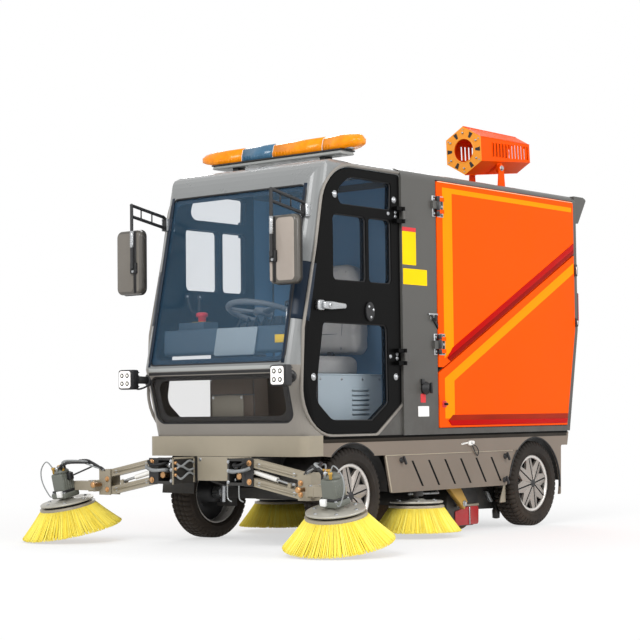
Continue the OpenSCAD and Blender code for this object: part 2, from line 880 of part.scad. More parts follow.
// Cowl on a pedestal, with the steering column, its block and the stop button on a console
module dashboard() {
  cowl_w = cab_w - 212;
  cowl_top_z = 1150;
  cowl_low_z = 1010;
  pedestal_w = 300;
  pedestal_top_z = 1080;
  column_r = 34;
  column_l = 205;
  stub_l = 36;
  block_half_w = 60;
  console_x = [-420, -230];
  console_s = [-300, -185];
  console_z = 1192;
  stop_at = [-300, -240];
  stop_shaft_r = 16;
  stop_shaft_h = 35;
  stop_head_r = 26;
  stop_head_h = 16;
  part("#59646b") {
    across(cowl_w) outline([
      [-385, cowl_low_z, 20], [-300, cowl_low_z, 20], [-160, 1090, 15], [-170, cowl_top_z, 25],
      [-380, cowl_top_z, 20]
    ]);
    across(pedestal_w)
      polygon([[-315, cab_floor_z], [-200, cab_floor_z], [-225, pedestal_top_z], [-330, pedestal_top_z]]);
    at_steering_wheel() {
      translate([0, 0, -25 - column_l]) cylinder(h = column_l, r = column_r);
      translate([0, 0, -4 - stub_l]) cylinder(h = stub_l, r = pin_r);
    }
    box(-block_half_w, -200, pedestal_top_z + 5, block_half_w, -90, cowl_top_z - 10);
    box(console_x[0], console_s[0], cowl_top_z - 10, console_x[1], console_s[1], console_z);
    translate([stop_at[0], stop_at[1], console_z]) {
      translate([0, 0, -5]) cylinder(h = stop_shaft_h + 5, r = stop_shaft_r);
      translate([0, 0, stop_shaft_h]) cylinder(h = stop_head_h, r = stop_head_r);
    }
  }
}

// Round rim on three spokes, hub bored for the column's stub
module steering_wheel() {
  rim_section_r = 15;
  hub_r = 45;
  hub_z = -22;
  hub_h = 40;
  spoke = [steer_wheel_r - 40, 28, 14];
  part(frame_black) at_steering_wheel() {
    rotate_extrude() translate([steer_wheel_r, 0]) circle(rim_section_r);
    difference() {
      translate([0, 0, hub_z]) cylinder(h = hub_h, r = hub_r);
      translate([0, 0, hub_z - 19]) cylinder(h = hub_h, r = pin_r + run_gap);
    }
    for (a = [90, 210, 330])
      rotate([0, 0, a]) translate([hub_r - 10, -spoke[1] / 2, -9]) cube(spoke);
  }
}

// Roof pieces

light_tray_z = 2082;
light_lens_z = 2106;

// Tray under the lens on two legs with foot plates
module light_bar_base() {
  tray_half_l = light_bar_l / 2 - 55;
  tray_half_d = 52;
  leg_mid_x = 320;
  part(steel) {
    translate([0, light_bar_s, 0])
      box(-tray_half_l, -tray_half_d, light_tray_z, tray_half_l, tray_half_d, light_lens_z);
    both_sides() translate([leg_mid_x, light_bar_s, 0]) {
      box(-30, -40, roof_z, 30, 40, roof_z + 12);
      box(-10, -30, roof_z, 10, 30, light_tray_z + 2);
    }
  }
}

module light_bar_lens() {
  half_d = 62;
  lens_h = 84;
  end_r = 30;
  part("#ffb000") translate([0, light_bar_s, light_lens_z]) linear_extrude(lens_h)
    outline(box_pts(-light_bar_l / 2, -half_d, light_bar_l / 2, half_d, end_r));
}

leg_x = 104;
leg_t = 8;
leg_half_l = 40;
ear_x = [84, 98];
ear_r = 25;

// Base plate with two upright legs, joined by pins to the ears under the barrel
module cannon_stand() {
  part(orange) translate([cannon_x, cannon_pivot_s, 0]) {
    box(-leg_x - 20, -60, roof_z, leg_x + 20, 60, roof_z + 10);
    both_sides() {
      slab(leg_x, leg_t) {
        polygon([
          [-leg_half_l, roof_z], [leg_half_l, roof_z], [ear_r, cannon_pivot_z], [-ear_r, cannon_pivot_z]
        ]);
        translate([0, cannon_pivot_z]) circle(ear_r);
      }
      pin_x(ear_x[0] - 2, 0, cannon_pivot_z, pin_r, leg_x + leg_t - ear_x[0] + 2);
    }
  }
}

// Moves from the barrel's own frame, mouth on the origin and axis along +Z, to its place
module at_barrel() {
  translate([cannon_x, cannon_s, cannon_z]) rotate([cannon_pitch - 90, 0, 0]) rotate([0, 0, 30]) children();
}

// Tapered hexagonal barrel, hollow, with a round mouth, six nozzle slots and louvred flanks
module mist_cannon() {
  louvres = 12;
  louvre_pitch = 37;
  louvre_h = 84;
  louvre_w = 17;
  mouth_r = 70;
  face_t = 8;
  skin = cannon_wall / cos(30);
  slot_at = 104;
  part(orange) difference() {
    union() {
      at_barrel() cylinder(h = cannon_l, r1 = cannon_front_r, r2 = cannon_rear_r, $fn = 6);
      translate([cannon_x, cannon_pivot_s, cannon_pivot_z]) both_sides() slab(ear_x[0], ear_x[1] - ear_x[0]) {
        translate([-ear_r, 0]) square([2 * ear_r, 50]);
        circle(ear_r);
      }
    }
    at_barrel() {
      translate([0, 0, face_t])
        cylinder(h = cannon_l - 2 * face_t, r1 = cannon_front_r - skin, r2 = cannon_rear_r - skin, $fn = 6);
      translate([0, 0, -1]) cylinder(h = cannon_l + 2, r = mouth_r);
      for (a = [30:60:330])
        rotate([0, 0, a]) translate([slot_at, 0, 4]) cube([30, 11, 20], center = true);
      for (i = [0:louvres - 1])
        rotate([0, 0, -30]) translate([-cannon_front_r, -louvre_h / 2, 135 + louvre_pitch * i])
          cube([2 * cannon_front_r, louvre_h, louvre_w]);
    }
    translate([cannon_x, cannon_pivot_s, cannon_pivot_z])
      pin_x(-ear_x[1] - 1, 0, 0, pin_r + run_gap, 2 * ear_x[1] + 2);
  }
}

mirror_s = -505;
mirror_z = 1522;
mirror_t = 45;

// Bent tube arms with a stay each, which hold the mirrors ahead of the pillars
module mirror_arms() {
  tube_r = 9;
  elbow_r = tube_r + 1;
  x = cab_half - 51;
  hang_s = mirror_s - mirror_t - 22;
  hang_z = mirror_z - 32;
  arm = [
    [x, -265, 1745], [x, -330, 1785], [x, hang_s, 1830], [x, hang_s, hang_z], [x, mirror_s - mirror_t, hang_z]
  ];
  stay = [[x, -275, 1722], [x, -330, 1727], [x, hang_s, 1770]];
  part(frame_black) both_sides() difference() {
    union() {
      for (path = [arm, stay]) {
        for (i = [0:len(path) - 2])
          rod(path[i], path[i + 1], tube_r);
        for (i = [1:len(path) - 2])
          translate(path[i]) sphere(elbow_r, $fn = 32);
      }
      box(x - 17, -318, 1712, x + 17, -250, 1772);
    }
    upper_hull(0);
  }
}

module mirror_heads() {
  half_w = 94;
  half_h = 175;
  corner_r = 35;
  part(body_grey) both_sides()
    translate([cab_half + 1, mirror_s, mirror_z]) rotate([90, 0, 0]) linear_extrude(mirror_t)
      outline(box_pts(-half_w, -half_h, half_w, half_h, corner_r));
}

// Square lamps on short stalks out of the nose
module work_lamps() {
  lamp_at = [cab_half - 7, -530, 883];
  lamp_t = 58;
  half_w = 52;
  half_h = 54;
  corner_r = 12;
  stalk_r = 22;
  part(frame_black) both_sides() {
    translate(lamp_at) rotate([90, 0, 0]) linear_extrude(lamp_t)
      outline(box_pts(-half_w, -half_h, half_w, half_h, corner_r));
    difference() {
      rod([cab_half - 51, -425, 880], lamp_at + [-4, -2, -1], stalk_r);
      lower_hull(0);
    }
  }
}

// Wheels

tyre_black = "#17181a";
alloy = "#c9ccd0";

module tyre() {
  w = tyre_w / 2;
  rotate([0, 90, 0]) rotate_extrude($fn = 96) outline([
    [rim_r, -w + 12, 0], [rim_r + 20, -w, 8], [tyre_r - 28, -w, 20], [tyre_r, -w + 26, 22],
    [tyre_r, w - 26, 22], [tyre_r - 28, w, 20], [rim_r + 20, w, 8], [rim_r, w - 12, 0]
  ]);
}

// Wheel with a domed cover on its outer (+X) side, eight windows and eight grooves
module wheel() {
  spokes = 8;
  window_r = 128;
  difference() {
    rotate([0, 90, 0]) rotate_extrude($fn = 96) polygon([
      [0, 48], [60, 60], [110, 58], [150, 46], [rim_r, 50], [rim_r, -58], [rim_r - 9, -58], [rim_r - 9, 30],
      [120, 34], [56, 34], [56, -42], [0, -42]
    ]);
    translate([-60, 0, 0]) rotate([0, 90, 0]) cylinder(h = 85, r = 20 + run_gap);
    for (i = [0:spokes - 1])
      rotate([i * 360 / spokes, 0, 0]) {
        translate([20, 0, window_r]) rotate([90, 0, 90]) linear_extrude(60)
          polygon([[-16, 0], [16, 0], [0, 26]]);
        translate([52, -3, 45]) cube([20, 6, 70]);
      }
  }
}

module knuckle() {
  difference() {
    union() {
      translate([kingpin_x, 0, 202]) cylinder(h = 104, r = 26);
      pin_x(kingpin_x, 0, tyre_r, 20, 130);
      pin_x(kingpin_x + 10, 0, tyre_r, 34, 56);
      box(kingpin_x - 12, 0, 222, kingpin_x + 12, 140, 240);
    }
    translate([kingpin_x, 0, 150]) cylinder(h = 220, r = pin_r + run_gap);
  }
}

module knuckle_left() {
  part(steel) knuckle();
}

module knuckle_right() {
  part(steel) mirror([1, 0, 0]) knuckle();
}

module at_wheel(side, s) {
  mirror([side > 0 ? 0 : 1, 0, 0]) translate([wheel_x, s, tyre_r]) children();
}

module tyre_front_left() {
  part(tyre_black) at_wheel(1, 0) tyre();
}

module tyre_front_right() {
  part(tyre_black) at_wheel(-1, 0) tyre();
}

module tyre_rear_left() {
  part(tyre_black) at_wheel(1, wheelbase) tyre();
}

module tyre_rear_right() {
  part(tyre_black) at_wheel(-1, wheelbase) tyre();
}

module wheel_front_left() {
  part(alloy) at_wheel(1, 0) wheel();
}

module wheel_front_right() {
  part(alloy) at_wheel(-1, 0) wheel();
}

module wheel_rear_left() {
  part(alloy) at_wheel(1, wheelbase) wheel();
}

module wheel_rear_right() {
  part(alloy) at_wheel(-1, wheelbase) wheel();
}

// Front brush arms

// Flat bar with an eye at each end, lying along +X from its inner pin
module link() {
  difference() {
    translate([0, arm_w / 2, 0]) rotate([90, 0, 0]) linear_extrude(arm_w) {
      translate([0, -arm_h / 2]) square([arm_l, arm_h]);
      circle(arm_h / 2);
      translate([arm_l, 0]) circle(arm_h / 2);
    }
    for (x = [0, arm_l])
      pin_y(x, 0, 0, arm_pin_r + run_gap, arm_w + 2);
  }
}

module at_arm(dz) {
  translate([arm_x, arm_s, arm_top_z + dz]) rotate([0, arm_slope, 0]) children();
}

// Cylinder between the links: foot on the bracket, rod eye over the lower link
cylinder_foot = [358, 393];
cylinder_pin_r = 6;
piston_r = 7;
eye_along = 250;
eye_above = 36;
eye_point = [
  arm_x + eye_along * cos(arm_slope) + eye_above * sin(arm_slope),
  arm_top_z - arm_gap_z - eye_along * sin(arm_slope) + eye_above * cos(arm_slope)
];
cylinder_span = eye_point - cylinder_foot;
cylinder_angle = atan2(-cylinder_span[1], cylinder_span[0]);

module arm_lower() {
  at_arm(-arm_gap_z) {
    link();
    for (side = [-1, 1])
      translate([eye_along, side * 17, 0]) box(-10, -4, arm_h / 2 - 2, 10, 4, eye_above + 8);
  }
}

module at_cylinder() {
  translate([cylinder_foot[0], arm_s, cylinder_foot[1]]) rotate([0, cylinder_angle, 0]) children();
}

module arm_cylinder() {
  foot_r = 12;
  foot_w = 40;
  barrel_r = 13;
  barrel_l = 150;
  at_cylinder() difference() {
    union() {
      pin_y(0, 0, 0, foot_r, foot_w);
      pin_x(6, 0, 0, barrel_r, barrel_l);
    }
    pin_y(0, 0, 0, cylinder_pin_r + run_gap, foot_w + 2);
    pin_x(40, 0, 0, piston_r + run_gap, barrel_l);
  }
}

module arm_rod() {
  eye_r = 11;
  eye_w = 22;
  start = 90;
  at_cylinder() {
    pin_x(start, 0, 0, piston_r, norm(cylinder_span) - start - 6);
    difference() {
      pin_y(norm(cylinder_span), 0, 0, eye_r, eye_w);
      pin_y(norm(cylinder_span), 0, 0, cylinder_pin_r, eye_w + 2);
    }
  }
}

// Moves from the brush's own frame, tips on z 0, to its tilted place
module at_front_brush() {
  translate([front_brush_x, front_brush_s, front_brush_z]) rotate([brush_tilt, brush_cant, 0]) children();
}

// Fork on both links, box arm and the upright motor over the brush
module brush_head() {
  tip_x = arm_x + arm_dx;
  tip_z = arm_top_z + arm_dz;
  fork_z = [tip_z - arm_gap_z - 22, tip_z + 22];
  fork_end_x = tip_x + 66;
  beam_s = [-620, -540];
  beam_z = [282, 332];
  motor_half = 38;
  motor_z = [205, 315];
  flange_half = 52;
  flange_z = [188, 210];
  for (side = [-1, 1])
    translate([0, arm_s + side * (clevis_gap + clevis_t) / 2, 0])
      box(tip_x - 20, -clevis_t / 2, fork_z[0], fork_end_x, clevis_t / 2, fork_z[1]);
  for (dz = [0, -arm_gap_z])
    pin_y(tip_x, arm_s, tip_z + dz, arm_pin_r, clevis_gap + 2 * clevis_t);
  box(fork_end_x - 26, arm_s - 37, fork_z[0], fork_end_x, arm_s + 37, fork_z[1]);
  box(fork_end_x - 6, beam_s[0], beam_z[0], front_brush_x, beam_s[1], beam_z[1]);
  at_front_brush() {
    box(-motor_half, -motor_half, motor_z[0], motor_half, motor_half, motor_z[1]);
    box(-flange_half, -flange_half, flange_z[0], flange_half, flange_half, flange_z[1]);
    translate([0, 0, 150]) cylinder(h = 60, r = pin_r);
  }
}

// Bristle cone under a ring and a disc, bored for the motor shaft
module brush(tip_r) {
  difference() {
    union() {
      cylinder(h = bristle_h, r1 = tip_r, r2 = ring_r);
      translate([0, 0, bristle_h]) cylinder(h = 20, r = ring_r + 4);
      translate([0, 0, bristle_h + 20]) cylinder(h = 16, r = ring_r - 14);
      translate([0, 0, bristle_h + 36]) cylinder(h = 12, r = 40);
    }
    translate([0, 0, -1]) cylinder(h = bristle_h - 9, r1 = tip_r - 50, r2 = ring_r - 50);
    translate([0, 0, bristle_h - 15]) cylinder(h = 80, r = pin_r + run_gap);
  }
}

module arm_upper_left() {
  part(trim_grey) at_arm(0) link();
}

module arm_upper_right() {
  part(trim_grey) mirror([1, 0, 0]) at_arm(0) link();
}

module arm_lower_left() {
  part(trim_grey) arm_lower();
}

module arm_lower_right() {
  part(trim_grey) mirror([1, 0, 0]) arm_lower();
}

module arm_cylinder_left() {
  part("white") arm_cylinder();
}

module arm_cylinder_right() {
  part("white") mirror([1, 0, 0]) arm_cylinder();
}

module arm_rod_left() {
  part(steel) arm_rod();
}

module arm_rod_right() {
  part(steel) mirror([1, 0, 0]) arm_rod();
}

module brush_head_left() {
  part(trim_grey) brush_head();
}

module brush_head_right() {
  part(trim_grey) mirror([1, 0, 0]) brush_head();
}

module front_brush_left() {
  part(bristle_yellow) at_front_brush() brush(front_brush_r);
}

module front_brush_right() {
  part(bristle_yellow) mirror([1, 0, 0]) at_front_brush() brush(front_brush_r);
}

module mid_brush_left() {
  part(bristle_yellow) translate([mid_brush_x, mid_brush_s, mid_brush_z]) brush(mid_brush_r);
}

module mid_brush_right() {
  part(bristle_yellow) translate([-mid_brush_x, mid_brush_s, mid_brush_z]) brush(mid_brush_r);
}

module main_roller() {
  axis_z = roller_r + roller_lift;
  core_r = 40;
  core_l = roller_l + 16;
  part("#3a3024") difference() {
    union() {
      pin_x(-roller_l / 2, roller_s, axis_z, roller_r, roller_l);
      pin_x(-core_l / 2, roller_s, axis_z, core_r, core_l);
    }
    pin_x(-core_l / 2 - 2, roller_s, axis_z, pin_r + run_gap, core_l + 4);
  }
}

// Half round cover over the roller with side plates that carry its shaft, hung from the rails
module roller_hood() {
  axis_z = roller_r + roller_lift;
  end_x = roller_l / 2 + 13;
  end_t = 8;
  end_low_z = 24;
  hood_r = roller_r + 14;
  skin = 6;
  hanger_half = 20;
  part("#b3241c") {
    both_sides() slab(end_x, end_t) intersection() {
      translate([roller_s, axis_z]) circle(hood_r + skin);
      translate([roller_s - 200, end_low_z]) square([400, 400]);
    }
    across(2 * end_x) intersection() {
      translate([roller_s, axis_z]) difference() {
        circle(hood_r + skin);
        circle(hood_r);
      }
      translate([roller_s - 200, axis_z]) square([400, 400]);
    }
    pin_x(-end_x - end_t, roller_s, axis_z, pin_r, 2 * (end_x + end_t));
    both_sides() translate([rail_x, roller_s, 0])
      box(-hanger_half, -hanger_half, axis_z + hood_r, hanger_half, hanger_half, rail_z);
  }
}

chassis_frame();
front_axle();
rear_axle();
battery_pack();
bumper();
side_bands();
skirt_panels();
cab_floor();
cab_nose();
cab_frame();
cab_glass();
body_shell();
lower_side_panels();
roof_visor();
seat_base();
seat_pads();
dashboard();
light_bar_base();
light_bar_lens();
cannon_stand();
mirror_arms();
mirror_heads();
work_lamps();
roller_hood();
tail_lamps();
cab_door_left();
cab_door_right();
door_glass_left();
door_glass_right();
side_door_left();
side_door_right();
tailgate();
steering_wheel();
mist_cannon();
knuckle_left();
knuckle_right();
tyre_front_left();
tyre_front_right();
tyre_rear_left();
tyre_rear_right();
wheel_front_left();
wheel_front_right();
wheel_rear_left();
wheel_rear_right();
arm_upper_left();
arm_upper_right();
arm_lower_left();
arm_lower_right();
arm_cylinder_left();
arm_cylinder_right();
arm_rod_left();
arm_rod_right();
brush_head_left();
brush_head_right();
front_brush_left();
front_brush_right();
mid_brush_left();
mid_brush_right();
main_roller();
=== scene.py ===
import json
import math
import random

import bmesh
import bpy
import numpy as np
from mathutils import Matrix, Vector


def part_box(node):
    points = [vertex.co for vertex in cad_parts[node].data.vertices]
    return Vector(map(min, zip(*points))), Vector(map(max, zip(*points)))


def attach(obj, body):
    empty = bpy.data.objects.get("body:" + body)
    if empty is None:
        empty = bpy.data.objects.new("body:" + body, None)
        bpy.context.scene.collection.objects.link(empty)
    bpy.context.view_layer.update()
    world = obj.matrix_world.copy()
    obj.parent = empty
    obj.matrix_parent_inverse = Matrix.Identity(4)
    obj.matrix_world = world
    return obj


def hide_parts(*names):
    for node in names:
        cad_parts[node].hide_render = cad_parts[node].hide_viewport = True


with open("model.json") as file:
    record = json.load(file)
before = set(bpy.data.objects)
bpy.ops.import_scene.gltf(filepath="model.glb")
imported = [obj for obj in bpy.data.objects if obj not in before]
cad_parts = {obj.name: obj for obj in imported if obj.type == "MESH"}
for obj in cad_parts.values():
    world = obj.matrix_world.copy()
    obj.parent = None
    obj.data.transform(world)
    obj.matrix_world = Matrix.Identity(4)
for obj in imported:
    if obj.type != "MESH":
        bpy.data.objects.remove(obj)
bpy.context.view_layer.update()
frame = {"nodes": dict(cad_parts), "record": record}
nodes = frame["nodes"]
rng = random.Random(11)

# Pieces are drawn in millimetres: x to the machine's left, s (station) behind the front axle, z up.
# Shaders, camera, lights, floor and the seat's swelling are in metres, in the frame's own axes.
# Pieces of a pair are drawn on the left, and one made for side -1 is mirrored when it is done, but
# levers and bolt heads keep the same turn on both sides.
# Tyres, wheels and brushes are drawn where they stand.
low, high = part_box("tyre_front_left")
AXLE_Y = (low.y + high.y) / 2
TO_FRAME = Matrix.Translation((0, AXLE_Y, 0)) @ Matrix.Scale(0.001, 4)
SIDES = (("left", 1), ("right", -1))
OUT, AHEAD, BEHIND, UP, DOWN = (1, 0, 0), (0, -1, 0), (0, 1, 0), (0, 0, 1), (0, 0, -1)
move = Matrix.Translation


def turn(angle, axis):
    return Matrix.Rotation(angle, 4, axis)


# Materials


def linear(code):
    out = []
    for i in (1, 3, 5):
        c = int(code[i:i + 2], 16) / 255
        out.append(c / 12.92 if c <= 0.04045 else ((c + 0.055) / 1.055) ** 2.4)
    return (*out, 1.0)


def scaled(colour, k):
    return (*[min(1.0, c * k) for c in colour[:3]], 1.0)


class Graph:
    """Node tree with short helpers."""

    def __init__(self, tree):
        self.tree = tree

    def node(self, kind, **props):
        n = self.tree.nodes.new(kind)
        for k, v in props.items():
            setattr(n, k, v)
        return n

    def link(self, a, b):
        self.tree.links.new(a, b)

    def ranged(self, value, a, b, c, d):
        n = self.node("ShaderNodeMapRange")
        self.link(value, n.inputs["Value"])
        for key, v in zip(("From Min", "From Max", "To Min", "To Max"), (a, b, c, d)):
            n.inputs[key].default_value = v
        return n.outputs["Result"]

    def maths(self, op, a, b):
        n = self.node("ShaderNodeMath", operation=op)
        for i, v in enumerate((a, b)):
            if isinstance(v, (int, float)):
                n.inputs[i].default_value = v
            else:
                self.link(v, n.inputs[i])
        return n.outputs[0]

    def background_rays(self):
        """1 for rays that show the white background: from the camera, off glossy faces and through glass."""
        rays = self.node("ShaderNodeLightPath").outputs
        seen = self.maths("MAXIMUM", rays["Is Camera Ray"], rays["Is Glossy Ray"])
        return self.maths("MAXIMUM", seen, rays["Is Transmission Ray"])


class Shader(Graph):
    """Material with one Principled shader."""

    SOCKETS = {"metallic": "Metallic", "coat": "Coat Weight", "coat_rough": "Coat Roughness",
               "alpha": "Alpha", "specular": "Specular IOR Level", "roughness": "Roughness",
               "emission": "Emission Strength"}

    def __init__(self, name):
        self.mat = bpy.data.materials.new(name)
        self.mat.use_nodes = True
        super().__init__(self.mat.node_tree)
        self.bsdf = self.tree.nodes["Principled BSDF"]
        self.coord = self.node("ShaderNodeTexCoord").outputs["Object"]

    def feed(self, value, socket):
        self.link(value, self.bsdf.inputs[socket])

    def noise(self, scale, detail=4.0, rough=0.55, stretch=None):
        n = self.node("ShaderNodeTexNoise")
        for key, v in (("Scale", scale), ("Detail", detail), ("Roughness", rough)):
            n.inputs[key].default_value = v
        source = self.coord
        if stretch:
            m = self.node("ShaderNodeMapping")
            m.inputs["Scale"].default_value = stretch
            self.link(source, m.inputs["Vector"])
            source = m.outputs["Vector"]
        self.link(source, n.inputs["Vector"])
        return n.outputs["Fac"]

    def cloud(self, scale, detail=4.0, rough=0.55, stretch=None, lo=0.0, hi=1.0):
        return self.ranged(self.noise(scale, detail, rough, stretch), 0.3, 0.7, lo, hi)

    def mix(self, fac, a, b):
        n = self.node("ShaderNodeMix", data_type="RGBA")
        self.link(fac, n.inputs["Factor"])
        for key, v in (("A", a), ("B", b)):
            socket = [s for s in n.inputs if s.name == key and s.type == "RGBA"][0]
            if isinstance(v, tuple):
                socket.default_value = v
            else:
                self.link(v, socket)
        return [s for s in n.outputs if s.type == "RGBA"][0]

    def edges(self, radius):
        """1 where the surface bends within the radius."""
        bevel = self.node("ShaderNodeBevel", samples=4)
        bevel.inputs["Radius"].default_value = radius
        dot = self.node("ShaderNodeVectorMath", operation="DOT_PRODUCT")
        self.link(bevel.outputs["Normal"], dot.inputs[0])
        self.link(self.node("ShaderNodeNewGeometry").outputs["Normal"], dot.inputs[1])
        return self.ranged(dot.outputs["Value"], 0.80, 0.97, 1.0, 0.0)

    def height(self):
        n = self.node("ShaderNodeSeparateXYZ")
        self.link(self.coord, n.inputs["Vector"])
        return n.outputs["Z"]

    def bump(self, value, strength, distance):
        n = self.node("ShaderNodeBump")
        n.inputs["Strength"].default_value = strength
        n.inputs["Distance"].default_value = distance
        self.link(value, n.inputs["Height"])
        self.feed(n.outputs["Normal"], "Normal")

    def set(self, **values):
        for k, v in values.items():
            self.bsdf.inputs[self.SOCKETS[k]].default_value = v


def finish(name, code, rough, spread, vary, scale, grain, bump, depth=0.0004, wear=None, dust=None,
           stretch=None, **sockets):
    """General surface: cloudy colour, uneven roughness, fine grain, worn edges and a tint low down, dust on
    most finishes and painted shade on the body grey.
    """
    s = Shader(name)
    base = linear(code)
    colour = s.mix(s.cloud(scale, 5.0, 0.6, stretch), scaled(base, 1 - vary), scaled(base, 1 + vary))
    # tint towards the bottom: dust on most finishes, painted shade where it darkens the body grey
    if dust:
        tint, z_full, z_none, amount = dust
        share = s.maths("MULTIPLY", s.ranged(s.height(), z_full, z_none, amount, 0.0),
                        s.ranged(s.noise(9.0, 6.0, 0.65), 0.35, 0.7, 0.15, 1.0))
        colour = s.mix(share, colour, linear(tint))
    if wear:
        tint, radius, amount = wear
        patches = s.ranged(s.noise(38.0, 5.0, 0.7), 0.42, 0.62, 0.0, amount)
        colour = s.mix(s.maths("MULTIPLY", s.edges(radius), patches), colour, linear(tint))
    s.feed(colour, "Base Color")
    s.feed(s.cloud(scale * 4, 4.0, 0.6, stretch, max(0.02, rough - spread), rough + spread), "Roughness")
    s.bump(s.noise(grain, 3.0, 0.5, stretch), bump, depth)
    if "emission" in sockets:
        s.feed(colour, "Emission Color")
    s.set(**sockets)
    return s.mat


def row(*values, **extras):
    return values, extras


